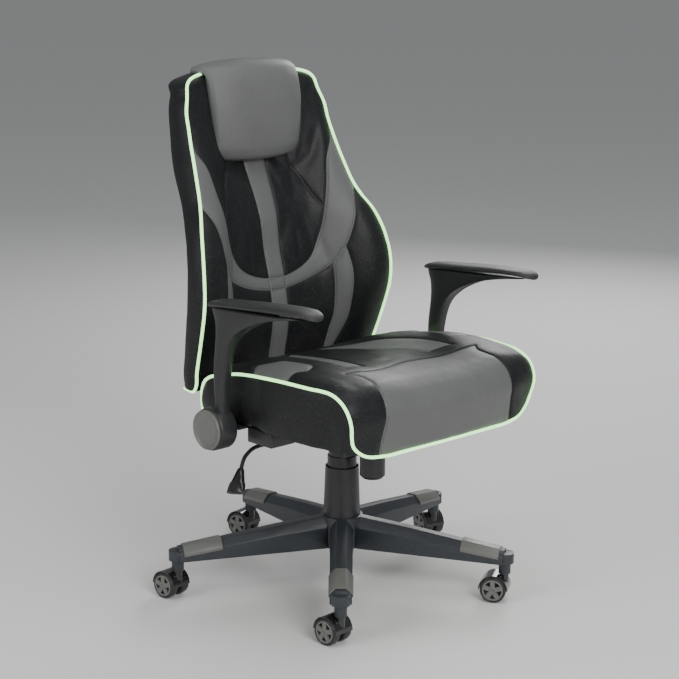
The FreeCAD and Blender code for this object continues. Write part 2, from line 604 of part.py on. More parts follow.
STRAP_LOW = "(tray_bottom + strap_rise)"
STRAP_HIGH = "(%s + plate_thickness)" % STRAP_LOW
KNOB_TOP = "(tray_bottom - knob_drop)"
KNOB_FOOT = "(%s - knob_height)" % KNOB_TOP
KNOB_FLOOR = "(%s + knob_wall * 2)" % KNOB_FOOT
BOLT_FOOT = "(%s + knob_wall)" % KNOB_FOOT
HEAD_LOW = "(%s + rock_gap)" % STRAP_HIGH
tension_bolt = put(revolved("tension_bolt", [
    ("0", BOLT_FOOT), ("bolt_radius", BOLT_FOOT), ("bolt_radius", HEAD_LOW), ("bolt_head_radius", HEAD_LOW),
    ("bolt_head_radius", HEAD_LOW + " + bolt_head_height"), ("0", HEAD_LOW + " + bolt_head_height")]),
    ("0", "-bolt_forward", "0"))
tension_knob = put(revolved("tension_knob", [
    ("0", KNOB_FOOT), ("knob_radius - knob_wall", KNOB_FOOT), ("knob_radius", KNOB_FOOT + " + knob_wall"),
    ("knob_radius", KNOB_TOP), ("knob_radius - knob_wall", KNOB_TOP), ("knob_radius - knob_wall", KNOB_FLOOR),
    ("bolt_radius + run_gap", KNOB_FLOOR), ("bolt_radius + run_gap", BOLT_FOOT), ("0", BOLT_FOOT)]),
    ("0", "-bolt_forward", "0"))


def spring():
    """A round-wire helix from the knob's floor to the tray, with its ends inside those two."""
    foot = size("tray_bottom") - size("knob_drop") - size("knob_height") + 2 * size("knob_wall")
    wire = size("spring_wire") / 2
    height = size("tray_bottom") - foot - 2 * wire
    helix = Part.makeHelix(height / size("spring_coils"), height, size("spring_radius"))
    start = Vector(size("spring_radius"), 0, 0)
    section = Part.Wire(Part.makeCircle(wire, start, Vector(0, 1, 0)))
    shape = Part.Wire(helix.Edges).makePipeShell([section], True, True)
    obj = doc.addObject("Part::Feature", "tension_spring")
    obj.Shape = shape
    obj.Placement = FreeCAD.Placement(Vector(0, -size("bolt_forward"), foot + wire), Rotation())
    return obj


tension_spring = spring()
slider_block = box("slider_block", ("-tray_half_width - slider_length / 2", "-slider_half_width", SLIDER_LOW),
                   ("-tray_half_width + slider_length / 2", "slider_half_width", SLIDER_HIGH))
slider_bore = cylinder("slider_bore", "lever_radius + 0.8", "slider_length + 2",
                       ("-tray_half_width - slider_length / 2 - 1", "0", "tray_bottom + lever_rise"), "+X")
tilt_lock_slider = cut("tilt_lock_slider", slider_block, slider_bore)


def rounded_wire(points, share=0.45):
    """Straight runs joined by tangent arcs, each as large as its two runs allow."""
    edges, start = [], points[0]
    for before, corner, after in zip(points, points[1:], points[2:]):
        into, out = (before - corner), (after - corner)
        turn = math.pi - into.getAngle(out)
        reach = share * min(into.Length, out.Length)
        if turn < 0.002:
            continue
        first = corner + into.normalize() * reach
        last = corner + out.normalize() * reach
        radius = reach / math.tan(turn / 2)
        middle_way = (first + last) * 0.5 - corner
        depth = math.hypot(radius, reach) - radius
        middle = corner + middle_way.normalize() * depth
        edges.append(Part.LineSegment(start, first).toShape())
        edges.append(Part.Arc(first, middle, last).toShape())
        start = last
    edges.append(Part.LineSegment(start, points[-1]).toShape())
    return Part.Wire(edges)


def tube_along(name, points, radius):
    """A round bar along straight runs and arcs."""
    path = rounded_wire(points)
    first = path.Edges[0]
    section = Part.Wire(Part.makeCircle(radius, first.Vertexes[0].Point,
                                        first.tangentAt(first.FirstParameter)))
    obj = doc.addObject("Part::Feature", name)
    obj.Shape = path.makePipeShell([section], True, False)
    return obj


# The lever's bends beyond its straight run under the seat, from the outer bend.
LEVER_OUTER = [(0, 10, 0), (-44, -13, -8), (-64, -27, -26)]


def lever_path():
    """The lever runs out level over the valve, drops, runs out under the seat and turns to the paddle."""
    inner = size("tray_bottom") + size("lever_rise")
    outer = inner - size("lever_drop")
    clear = size("tray_half_width") + size("slider_length")
    return ([Vector(size("lift_radius"), 0, inner), Vector(-clear, 0, inner),
             Vector(-clear - size("lever_slant"), 5, outer)]
            + [Vector(across - size("lever_reach"), along, outer + rise) for across, along,
               rise in LEVER_OUTER])


path = lever_path()
lever_rod = tube_along("lever_rod", path, size("lever_radius"))


def paddle():
    """A tapered paddle that carries on along the lever's last run."""
    along = (path[-1] - path[-2]).normalize()
    level = Vector(0, 0, 1).cross(along).normalize()
    half_neck, half_end = size("paddle_neck") / 2, size("paddle_end") / 2
    length, thick = size("paddle_length"), size("paddle_thickness")
    corners = [Vector(0, -half_neck, 0), Vector(length, -half_end, 0), Vector(length, half_end, 0),
               Vector(0, half_neck, 0)]
    plate = Part.Face(Part.makePolygon(corners + corners[:1])).extrude(Vector(0, 0, thick))
    upright = [edge for edge in plate.Edges
               if abs(edge.tangentAt(edge.FirstParameter).z) > 0.9 and edge.Vertexes[0].X > length / 2]
    plate = plate.makeFillet(half_end * 0.5, upright)
    plate.translate(Vector(0, 0, -thick / 2))
    turn = FreeCAD.Matrix()
    down = along.cross(level)
    turn.A11, turn.A21, turn.A31 = along.x, along.y, along.z
    turn.A12, turn.A22, turn.A32 = level.x, level.y, level.z
    turn.A13, turn.A23, turn.A33 = down.x, down.y, down.z
    obj = doc.addObject("Part::Feature", "lever_paddle")
    obj.Shape = plate
    obj.Placement = FreeCAD.Placement(path[-1], Rotation(turn))
    return obj


lever_paddle = paddle()

# ---------------------------------------------------------------- seat frame
PLATE_LOW = "(tray_bottom + plate_rise)"
PLATE_HIGH = "(%s + plate_thickness)" % PLATE_LOW
EAR_OUT = "(tray_half_width - tray_skin - ear_inset)"
plate_parts = [box("plate_sheet", ("-plate_half_width", "-plate_front", PLATE_LOW),
                   ("plate_half_width", "plate_rear", PLATE_HIGH))]
plate_holes = []
for name, near, far in (("left", EAR_OUT + " - plate_thickness", EAR_OUT),
                        ("right", "-" + EAR_OUT, "-%s + plate_thickness" % EAR_OUT)):
    plate_parts.append(box(name + "_ear", (near, "-tilt_forward - 14", PIN_HEIGHT + " - 12"),
                           (far, "-tilt_forward + 14", PLATE_LOW)))
    plate_parts.append(box(name + "_hanger", (near, "-bolt_forward - strap_width / 2", STRAP_LOW),
                           (far, "-bolt_forward + strap_width / 2", PLATE_LOW)))
plate_parts.append(box("strap", ("-" + EAR_OUT, "-bolt_forward - strap_width / 2", STRAP_LOW),
                       (EAR_OUT, "-bolt_forward + strap_width / 2", STRAP_HIGH)))
plate_holes.append(cylinder("ear_bore", "tilt_pin_radius + run_gap", PIN_LENGTH, PIN_PLACE, "+X"))
plate_holes.append(cylinder("strap_bore", "bolt_radius + strap_gap", "plate_thickness + 2",
                            ("0", "-bolt_forward", STRAP_LOW + " - 1")))
seat_plate = cut("seat_plate", fuse("plate_frame", *plate_parts), *plate_holes)
PAN_TOP = "(%s + pan_thickness)" % PLATE_HIGH
PAN_HALF = "(seat_half_width - pan_side_inset)"
PAN_FRONT = "(seat_front - pan_front_inset)"
PAN_REAR = "(seat_rear - pan_rear_inset)"
seat_pan = slab("seat_pan", "XY_Plane", mirrored([
    (PAN_HALF + " * 0.8", "-" + PAN_FRONT), (PAN_HALF, "-%s * 0.8" % PAN_FRONT),
    (PAN_HALF, PAN_REAR + " * 0.6"),
    (PAN_HALF + " * 0.85", PAN_REAR)]), "pan_thickness", PLATE_HIGH, False)

CONTROLLER_TOP = PLATE_HIGH
CONTROLLER_IN = "(%s - controller_inset)" % PAN_HALF
controller_case = box("controller_case", ("-%s - controller_width" % CONTROLLER_IN, "-controller_depth - 5",
                                          CONTROLLER_TOP + " - controller_height"),
                      ("-" + CONTROLLER_IN, "-5", CONTROLLER_TOP))
inlet = cylinder("inlet", "inlet_radius", "inlet_depth", (
    "-%s - controller_width / 2" % CONTROLLER_IN, "-5 - inlet_depth",
    CONTROLLER_TOP + " - controller_height / 2"), "+Y")
light_controller = cut("light_controller", controller_case, inlet)

# ---------------------------------------------------------------- seat cushion
SEAT_PLAN = mirrored([
    ("seat_half_width - 150", "-(seat_front + seat_bulge)"),
    ("seat_half_width - 60", "-(seat_front + seat_bulge / 2)"),
    ("seat_half_width - 26", "-seat_front"), ("seat_half_width - 18", "-(seat_front - 18)"),
    ("seat_half_width - 11", "-(seat_front - 68)"), ("seat_half_width", "-(seat_front - 162)"),
    ("seat_half_width - 1", "-(seat_front - 201)"), ("seat_half_width - 14", "0"),
    ("seat_half_width - 10", "seat_rear * 0.36"), ("seat_half_width - 18", "seat_rear * 0.83"),
    ("seat_half_width - 45", "seat_rear")])
SEAT_SIDE = [
    ("-(seat_front - 32)", PAN_TOP), ("-(seat_front - 32)", PLATE_HIGH + " - apron_drop / 2"),
    ("-(seat_front + seat_bulge / 2)", PLATE_HIGH + " - apron_drop / 2"),
    ("-(seat_front + seat_bulge)", "seat_top - 80"), ("-(seat_front + seat_bulge - 2)", "seat_top - 47"),
    ("-(seat_front + seat_bulge - 19)", "seat_top - 18"), ("-(seat_front - 28)", "seat_top + 1"),
    ("-(seat_front - 75)", "seat_top + 8"), ("-(seat_front - 135)", "seat_top + 6"), ("0", "seat_top - 10"),
    ("seat_rear * 0.65", "seat_top - 34"), ("seat_rear", "seat_top - 52"), ("seat_rear", PAN_TOP)]
# The light piping's line along one bolster's upper edge, as inset from the side, depth and height.  Its rear
# run gives depth from the column axis, its front run from the front roll, its low run height from the apron.
PIPING_REAR = [(8, 139, -76), (18, 129, -45), (11, 110, -38), (10, 25, -15), (15, 0, -13), (11, -45, -6)]
PIPING_FRONT = [
    (1, 201, -2), (0, 162, 0), (6, 99, -1), (11, 68, -2), (18, 42, -6), (18, 18, -19), (20, 5, -39),
    (24, 0, -64),
    (31, 6, -91)]
PIPING_LOW = [(48, 7, 12), (75, 3, 2), (110, -2, -1)]
seat_plan = slab("seat_plan", "XY_Plane", SEAT_PLAN, "seat_top")
seat_plan.setExpression("Placement.Base.z", bound("seat_top - 60"))
seat_side = slab("seat_side", "YZ_Plane", SEAT_SIDE, "2 * seat_half_width + 10")
seat_cushion = common("seat_cushion", seat_plan, seat_side)

# ---------------------------------------------------------------- back
# The back is a shell with forward bolsters.  Each station gives its height, the depth of its front edge,
# its half width, how far its middle lies behind that edge, and the depth of its side.
BACK_STATIONS = [
    ("back_bottom", "back_foot", "back_half_width - 17", "26", "36"),
    ("back_bottom + 32", "back_foot - 8", "back_half_width - 13", "31", "42"),
    ("back_bottom + 108", "back_foot - 33", "back_half_width - 5", "43", "50"),
    ("back_bottom + 189", "back_foot - 53", "back_half_width", "back_hollow - 11", "56"),
    ("back_bottom + 265", "back_foot - 45", "back_half_width - 5", "back_hollow", "53"),
    ("back_bottom + 335", "back_foot - 16", "back_half_width - 24", "back_hollow - 17", "55"),
    ("back_bottom + 368", "back_foot + 7", "back_half_width - 41", "55", "60"),
    ("back_bottom + 440", "back_foot + 43", "back_half_width - 58", "50", "72"),
    ("back_bottom + 512", "back_foot + 73", "back_half_width - 68", "44", "65"),
    ("back_shoulder - 34", "back_foot + 96", "back_half_width - 81", "37", "55"),
    ("back_shoulder", "back_foot + 110", "back_half_width - 107", "30", "55"),
    ("back_shoulder + 9", "back_foot + 120", "back_half_width - 141", "24", "43"),
]
EDGE_CORNER = 4


def back_section(edge, half, hollow, depth):
    """A horizontal section: flat middle, rise to the bolsters, side, and a rounded rear."""
    rear = "(%s) + (%s)" % (edge, depth)
    swell = "((%s) + back_core - (%s))" % (hollow, depth)
    half = "(%s)" % half
    side = [(half + " * 0.3", "%s + %s" % (edge, hollow)),
            (half + " * 0.5", "%s + (%s) * 0.8" % (edge, hollow)),
            (half + " * 0.66", "%s + (%s) * 0.38" % (edge, hollow)), (half + " * 0.84", edge), (half, edge),
            (half, rear), (half + " * 0.75", "%s + %s * 0.5" % (rear, swell)),
            (half + " * 0.35", "%s + %s" % (rear, swell))]
    return mirrored(side)


def board_section(edge, half, hollow, depth):
    """The rear of the section, as thick as the board."""
    rear = back_section(edge, half, hollow, depth)[6:10]
    return rear + [(across, "%s - board_thickness" % deep) for across, deep in reversed(rear)]


def lofted(name, section, stations):
    """A Body lofted straight through horizontal sections."""
    body = new_body(name)
    sketches = [sketch_on(body, "XY_Plane", section(*facts), "%s_%d" % (name, number), height)
                for number, (height, *facts) in enumerate(stations)]
    loft = body.newObject("PartDesign::AdditiveLoft", name + "_loft")
    loft.Profile = sketches[0]
    loft.Sections = sketches[1:]
    loft.Ruled = True
    return body


back_blank = lofted("back_blank", back_section, BACK_STATIONS)
back_board = lofted("back_board", board_section, BACK_STATIONS[1:9])

HEADREST_SIDE = [
    ("back_foot + 96", "headrest_height - 211"), ("back_foot + 64", "headrest_height - 197"),
    ("back_foot + 57", "headrest_height - 145"), ("back_foot + 62", "headrest_height - 75"),
    ("back_foot + 80", "headrest_height - 25"), ("back_foot + 102", "headrest_height - 4"),
    ("back_foot + 127", "headrest_height"), ("back_foot + 148", "headrest_height - 9"),
    ("back_foot + 154", "headrest_height - 29"), ("back_foot + 134", "headrest_height - 72"),
    ("back_foot + 118", "headrest_height - 145")]
HEADREST_OUTLINE = [
    ("headrest_half_width - 50", "headrest_height - 211"),
    ("headrest_half_width - 28", "headrest_height - 207"),
    ("headrest_half_width - 16", "headrest_height - 175"),
    ("headrest_half_width - 5", "headrest_height - 119"),
    ("headrest_half_width", "headrest_height - 40"), ("headrest_half_width - 8", "headrest_height - 10"),
    ("headrest_half_width - 36", "headrest_height")]
headrest_side = slab("headrest_side", "YZ_Plane", HEADREST_SIDE, "3 * headrest_half_width")
headrest_outline = slab("headrest_outline", "XZ_Plane", mirrored(HEADREST_OUTLINE), "4 * back_foot")
headrest_pad = common("headrest_pad", headrest_side, headrest_outline)

# Each bracket runs under the pan, turns up behind the seat and stands inside the back.
BRACKET_LINE = [("back_foot + 36", "back_bottom + 29"), ("back_foot + 22", "back_bottom + 100"),
                ("back_foot + 14", "bracket_top")]
BRACKET_FRONT = [("%s - plate_thickness" % across, up) for across, up in reversed(BRACKET_LINE)]
BRACKET = ([("arm_pivot_back + 40", PLATE_LOW), ("back_foot + 36", PLATE_LOW)] + BRACKET_LINE + BRACKET_FRONT
           + [("back_foot + 30", PLATE_HIGH), ("arm_pivot_back + 40", PLATE_HIGH)])
BRACKET_OUT = "(back_half_width - bracket_inset)"
bracket_bars = []
for side, place in (("left", BRACKET_OUT + " + bracket_width / 2"),
                    ("right", "-%s - bracket_width / 2" % BRACKET_OUT)):
    bar = slab("bracket_" + side, "YZ_Plane", BRACKET, "bracket_width")
    bracket_bars.append(put(bar, (place, "0", "0")))
back_brackets = group("back_brackets", *bracket_bars)
back_cushion = cut("back_cushion", back_blank, back_board, headrest_pad, *bracket_bars)


# ---------------------------------------------------------------- light piping
def seat_piping_path():
    """From the rear of one bolster, forward, down the front corner and across under the front roll."""
    half, top, front = size("seat_half_width"), size("seat_top"), size("seat_front")
    apron = size("tray_bottom") + size("plate_rise") + size("plate_thickness") - size("apron_drop") / 2
    run = [Vector(half - inset, depth, top + rise) for inset, depth, rise in PIPING_REAR]
    run += [Vector(half - inset, depth - front, top + rise) for inset, depth, rise in PIPING_FRONT]
    run += [Vector(half - inset, depth - front, apron + rise) for inset, depth, rise in PIPING_LOW]
    return run + [Vector(-p.x, p.y, p.z) for p in reversed(run)]


def back_piping_path():
    """Up one edge of the back's front face, from under its lower corner to the headrest."""
    sketches = [o for o in back_blank.Group if o.TypeId == "Sketcher::SketchObject"]
    edge = []
    for sketch in sketches:
        corner = sketch.Geometry[EDGE_CORNER].StartPoint
        edge.append(sketch.Placement.multVec(corner))
    foot = edge[0]
    return [foot + Vector(2, 34, 2), foot + Vector(2, 6, 3)] + edge[1:]


doc.recompute()
seat_light_piping = tube_along("seat_light_piping", seat_piping_path(), size("piping_radius"))
left_run = tube_along("back_piping_left", back_piping_path(), size("piping_radius"))
right_run = tube_along("back_piping_right", [Vector(-p.x, p.y, p.z) for p in back_piping_path()],
                       size("piping_radius"))
back_light_piping = group("back_light_piping", left_run, right_run)

# ---------------------------------------------------------------- arms
HUB_IN = "(seat_half_width + arm_hub_gap)"
ARM_OUT = "(%s + arm_inset)" % HUB_IN
PAD_SLOPE = "arm_fall / (arm_pad_front + arm_pad_rear)"
arm_parts = {}
ARM_SIDE = [
    ("arm_pivot_back - 28", "arm_pivot_height + 16"), ("arm_pivot_back - 29", "arm_pivot_height + 80"),
    ("arm_pivot_back - 40", "arm_pivot_height + 126"), ("arm_pivot_back - 51", "arm_pivot_height + 176"),
    ("arm_pivot_back - 91", "arm_pivot_height + 217"), ("arm_pivot_back - 155", "arm_pivot_height + 245"),
    ("-(arm_pad_front - 24)", "arm_top_height - 24 * %s - 8" % PAD_SLOPE),
    ("-(arm_pad_front - 12)", "arm_top_height - 12 * %s" % PAD_SLOPE),
    ("arm_pad_rear - 6", "arm_top_height - (arm_pad_front + arm_pad_rear - 6) * %s" % PAD_SLOPE),
    ("arm_pad_rear - 6", "arm_top_height - arm_fall - 12"),
    ("arm_pivot_back - 4", "arm_pivot_height + 211"), ("arm_pivot_back - 5", "arm_pivot_height + 173"),
    ("arm_pivot_back + 1", "arm_pivot_height + 123"), ("arm_pivot_back", "arm_pivot_height + 95"),
    ("arm_pivot_back - 6", "arm_pivot_height + 16")]
for side, sign in (("left", "1"), ("right", "-1")):
    def span(near, far):
        """Low and high X of a piece between two distances out from the middle."""
        return ("(%s)" % near, "(%s)" % far) if sign == "1" else ("-(%s)" % far, "-(%s)" % near)

    def axial(name, radius, near, far):
        low, high = span(near, far)
        return cylinder(name, radius, "%s - %s" % (high, low), (low, "arm_pivot_back", "arm_pivot_height"),
                        "+X")

    post = put(slab("arm_post_" + side, "YZ_Plane", ARM_SIDE, "arm_thickness"),
               ("%s * %s" % (sign, ARM_OUT), "0", "0"))
    hub_out = HUB_IN + " + arm_hub_width"
    hub_block = axial("arm_hub_" + side, "arm_hub_radius", HUB_IN, hub_out)
    bore = axial("arm_bore_" + side, "pivot_radius + run_gap", HUB_IN + " - 1", hub_out + " + 1")
    seat_in_hub = axial("arm_head_room_" + side, "pivot_head_radius + 1",
                        hub_out + " - pivot_head_height - 1",
                        hub_out + " + 1")
    frame = cut("arm_frame_" + side, fuse("arm_blank_" + side, post, hub_block), bore, seat_in_hub)
    pad = put(slab("arm_pad_" + side, "YZ_Plane", [
        ("-arm_pad_front", "arm_top_height"), ("arm_pad_rear", "arm_top_height - arm_fall"),
        ("arm_pad_rear", "arm_top_height - arm_fall + arm_pad_thickness"),
        ("-arm_pad_front", "arm_top_height + arm_pad_thickness")], "arm_pad_width"),
        ("%s * %s" % (sign, ARM_OUT), "0", "0"))
    cap = axial("arm_hub_cap_" + side, "arm_cap_radius", hub_out, hub_out + " + arm_cap_height")
    bolt = fuse("arm_pivot_bolt_" + side,
                axial("arm_shank_" + side, "pivot_radius", "seat_half_width - 8", hub_out + " - 1"),
                axial("arm_head_" + side, "pivot_head_radius", hub_out + " - pivot_head_height - 0.5",
                      hub_out + " - 0.5"))
    low, high = span("plate_half_width + 5", "seat_half_width - 8")
    bar = box("arm_bar_" + side, (low, "arm_pivot_back - 30", PLATE_LOW),
              (high, "arm_pivot_back + 30", PLATE_HIGH))
    lug = axial("arm_lug_" + side, "pivot_radius + 6", "seat_half_width - 8",
                "seat_half_width + arm_hub_gap / 2")
    lug_bore = axial("arm_lug_bore_" + side, "pivot_radius", "seat_half_width - 8", HUB_IN + " + 1")
    bracket = cut("arm_bracket_" + side, fuse("arm_bracket_blank_" + side, bar, lug), lug_bore)
    for name, obj in (("arm_frame_", frame), ("arm_pad_", pad), ("arm_hub_cap_", cap),
                      ("arm_pivot_bolt_", bolt), ("arm_bracket_", bracket)):
        arm_parts[name + side] = obj

# ---------------------------------------------------------------- screws
SCREW_PLACES = ([(x, y) for x in ("plate_half_width - 14", "-(plate_half_width - 14)")
                 for y in ("-plate_front + 14", "plate_rear - 14")]
                + [(x, "arm_pivot_back") for x in (PAN_HALF + " - 20", "-(%s - 20)" % PAN_HALF)]
                + [(x, PAN_REAR + " - 20") for x in (BRACKET_OUT + " + bracket_width / 2",
                                                     "-(%s + bracket_width / 2)" % BRACKET_OUT)])
screws = []
for number, (x, y) in enumerate(SCREW_PLACES):
    head = cylinder("screw_head_%d" % number, "screw_head_radius", "screw_head_height",
                    (x, y, PLATE_LOW + " - screw_head_height"))
    shank = cylinder("screw_shank_%d" % number, "screw_radius", "plate_thickness + pan_thickness - 2",
                     (x, y, PLATE_LOW))
    screws.append(fuse("screw_%d" % number, head, shank))
frame_screws = group("frame_screws", *screws)

# ---------------------------------------------------------------- check and write
doc.recompute()
SUB_PARTS = {
    "base_star": base_star, "foot_covers": foot_covers, "lift_outer_tube": lift_outer_tube,
    "lift_guide_bush": lift_guide_bush, "lift_thrust_bearing": lift_thrust_bearing,
    "lift_piston_rod": lift_piston_rod, "lift_cylinder": lift_cylinder, "valve_pin": valve_pin,
    "column_cover_lower": column_cover_lower, "column_cover_middle": column_cover_middle,
    "column_cover_upper": column_cover_upper, "mechanism_housing": mechanism_housing, "tilt_pin": tilt_pin,
    "tension_bolt": tension_bolt, "tension_knob": tension_knob, "tension_spring": tension_spring,
    "tilt_lock_slider": tilt_lock_slider, "lever_rod": lever_rod, "lever_paddle": lever_paddle,
    "seat_plate": seat_plate, "seat_pan": seat_pan, "seat_cushion": seat_cushion,
    "seat_light_piping": seat_light_piping, "light_controller": light_controller,
    "back_brackets": back_brackets, "back_board": back_board, "back_cushion": back_cushion,
    "headrest_pad": headrest_pad, "back_light_piping": back_light_piping, "frame_screws": frame_screws,
}
SUB_PARTS.update(caster_parts)
SUB_PARTS.update(arm_parts)
failed = [o.Name for o in doc.Objects if "Invalid" in o.State or "Error" in o.State]
if failed:
    raise RuntimeError("objects that failed: " + ", ".join(failed))
for node, obj in SUB_PARTS.items():
    obj.Label = node
    shape = obj.Shape
    if shape.isNull() or not shape.isValid() or not shape.Solids:
        raise RuntimeError("bad shape: " + node)
    shape.exportStep("parts/%s.step" % node)
print(len(SUB_PARTS), "sub-parts written")
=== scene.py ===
"""Gaming chair: upholstery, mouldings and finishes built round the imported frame.

Lengths inside the classes are in millimetres and are turned into metres when a mesh is made.
"""
import json
import logging
import math
from dataclasses import dataclass, field
from enum import Enum
from typing import Optional, Sequence

import bmesh
import bpy
import numpy as np
from mathutils import Matrix, Vector, kdtree, noise

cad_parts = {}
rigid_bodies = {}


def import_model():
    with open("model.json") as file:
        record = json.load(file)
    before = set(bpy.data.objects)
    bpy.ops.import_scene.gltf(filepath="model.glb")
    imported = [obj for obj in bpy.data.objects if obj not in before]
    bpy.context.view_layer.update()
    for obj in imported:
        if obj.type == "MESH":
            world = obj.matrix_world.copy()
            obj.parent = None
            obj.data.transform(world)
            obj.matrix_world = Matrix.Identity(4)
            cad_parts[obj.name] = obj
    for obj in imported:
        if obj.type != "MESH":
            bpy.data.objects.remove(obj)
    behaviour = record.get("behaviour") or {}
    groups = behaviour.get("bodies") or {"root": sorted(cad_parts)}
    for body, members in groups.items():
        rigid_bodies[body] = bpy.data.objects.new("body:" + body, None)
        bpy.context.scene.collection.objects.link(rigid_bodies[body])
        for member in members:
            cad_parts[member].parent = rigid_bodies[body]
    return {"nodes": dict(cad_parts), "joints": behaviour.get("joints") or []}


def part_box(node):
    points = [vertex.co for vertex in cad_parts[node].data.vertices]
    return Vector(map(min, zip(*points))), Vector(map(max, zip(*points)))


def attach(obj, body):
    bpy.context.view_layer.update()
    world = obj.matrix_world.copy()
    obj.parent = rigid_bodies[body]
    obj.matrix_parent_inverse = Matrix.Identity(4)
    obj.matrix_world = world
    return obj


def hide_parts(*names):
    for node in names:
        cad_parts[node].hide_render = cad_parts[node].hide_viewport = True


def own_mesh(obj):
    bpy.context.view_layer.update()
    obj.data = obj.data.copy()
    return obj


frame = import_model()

LOG = logging.getLogger("chair")
MM = 0.001
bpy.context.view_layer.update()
Line = Sequence[tuple]
OFF_CHART = 9999.0
ON_CHART = 2000
SWELL_FRAMES = 20
SEAM_HOLD = 3.0
MARK_REACH = 30.0


# ---------------------------------------------------------------- curves and distances
def hermite(knots: np.ndarray, where: np.ndarray, at: np.ndarray) -> np.ndarray:
    """Reads a smooth curve through knots.

    Args:
        knots: The values at the knots, one row each.
        where: The knots' parameters, rising.
        at: The parameters to read.
    Returns:
        One row for each parameter.
    """
    slopes = np.gradient(knots, where, axis=0)
    i = np.clip(np.searchsorted(where, at, side="right") - 1, 0, len(where) - 2)
    gap = (where[i + 1] - where[i])[:, None]
    u = np.clip((at[:, None] - where[i][:, None]) / gap, 0, 1)
    return ((2 * u**3 - 3 * u**2 + 1) * knots[i] + (u**3 - 2 * u**2 + u) * gap * slopes[i]
            + (3 * u**2 - 2 * u**3) * knots[i + 1] + (u**3 - u**2) * gap * slopes[i + 1])


def smooth_line(points: Line, count: int) -> np.ndarray:
    """Resamples a smooth curve through points.

    Args:
        points: The points to pass through, in any number of dimensions.
        count: How many points to return, evenly spaced along the curve.
    Returns:
        The new points, one row each.
    """
    knots = np.asarray(points, float)
    where = np.concatenate([[0], np.cumsum(np.linalg.norm(np.diff(knots, axis=0), axis=1))])
    dense = hermite(knots, where, np.linspace(0, where[-1], max(count * 5, 200)))
    run = np.concatenate([[0], np.cumsum(np.linalg.norm(np.diff(dense, axis=0), axis=1))])
    spots = np.linspace(0, run[-1], count)
    return np.stack([np.interp(spots, run, dense[:, k]) for k in range(dense.shape[1])], axis=1)


def line_length(points: np.ndarray) -> float:
    """Adds up a polyline's length."""
    return float(np.linalg.norm(np.diff(points, axis=0), axis=1).sum())


def distance_to(points: np.ndarray, line: np.ndarray) -> np.ndarray:
    """Measures each point's distance to a polyline.

    Args:
        points: Points in the plane, one row each.
        line: The polyline's points.
    Returns:
        One distance for each point.
    """
    best = np.full(len(points), 1e9)
    for start, end in zip(line[:-1], line[1:]):
        run = end - start
        along = np.clip(((points - start) @ run) / max(float(run @ run), 1e-9), 0, 1)
        best = np.minimum(best, np.linalg.norm(points - start - along[:, None] * run, axis=1))
    return best


def inside(points: np.ndarray, outline: np.ndarray) -> np.ndarray:
    """Tells which points lie inside a closed outline in the plane.

    Args:
        points: Points in the plane, one row each.
        outline: The outline's points, in order round it.
    Returns:
        True for each point inside.
    """
    found = np.zeros(len(points), bool)
    x, y = points[:, 0], points[:, 1]
    for (x0, y0), (x1, y1) in zip(outline, np.roll(outline, -1, axis=0)):
        crosses = (y0 > y) != (y1 > y)
        found ^= crosses & (x < (x1 - x0) * (y - y0) / (y1 - y0 if y1 != y0 else 1e-9) + x0)
    return found


# ---------------------------------------------------------------- mesh makers
def new_object(name: str, verts: np.ndarray, faces: Sequence) -> bpy.types.Object:
    """Makes a smooth-shaded mesh object from points in millimetres.

    Args:
        name: The object's name.
        verts: The points.
        faces: Point numbers, one group for each face.
    Returns:
        The new object, linked to the scene.
    """
    mesh = bpy.data.meshes.new(name)
    mesh.from_pydata((np.asarray(verts, float) * MM).tolist(), [], [list(map(int, f)) for f in faces])
    obj = bpy.data.objects.new(name, mesh)
    bpy.context.scene.collection.objects.link(obj)
    work = bmesh.new()
    work.from_mesh(mesh)
    bmesh.ops.remove_doubles(work, verts=work.verts, dist=1e-6)
    bmesh.ops.recalc_face_normals(work, faces=work.faces)
    work.to_mesh(mesh)
    work.free()
    mesh.shade_smooth()
    return obj


def revolve(profile: Line, steps: int) -> tuple[np.ndarray, list]:
    """Turns a profile of (along, radius) about the X axis.

    Args:
        profile: A chain that starts and ends on the axis, or a closed ring that stays off it.
        steps: How many faces go round.
    Returns:
        The points and the faces.
    """
    turn = np.linspace(0, 2 * math.pi, steps, endpoint=False)
    rows = [np.stack([np.full(steps, a), r * np.cos(turn), r * np.sin(turn)], axis=1) for a, r in profile]
    verts = np.concatenate(rows)
    count = len(profile)
    last = count if profile[0][1] > 1e-6 else count - 1
    faces = []
    for row in range(last):
        low, high = row * steps, ((row + 1) % count) * steps
        faces += [(low + k, low + (k + 1) % steps, high + (k + 1) % steps, high + k) for k in range(steps)]
    return verts, faces


def loft(rings: np.ndarray) -> tuple[np.ndarray, list]:
    """Skins closed rings one after another and closes both ends with a fan round a middle point.

    Args:
        rings: Rings by points by three.
    Returns:
        The points and the faces.
    """
    count, size = rings.shape[:2]
    verts = np.concatenate([rings.reshape(-1, 3), [rings[0].mean(axis=0), rings[-1].mean(axis=0)]])
    faces = [(r * size + k, r * size + (k + 1) % size, (r + 1) * size + (k + 1) % size, (r + 1) * size + k)
             for r in range(count - 1) for k in range(size)]
    first, final = count * size, count * size + 1
    faces += [(first, (k + 1) % size, k) for k in range(size)]
    base = (count - 1) * size
    faces += [(final, base + k, base + (k + 1) % size) for k in range(size)]
    return verts, faces


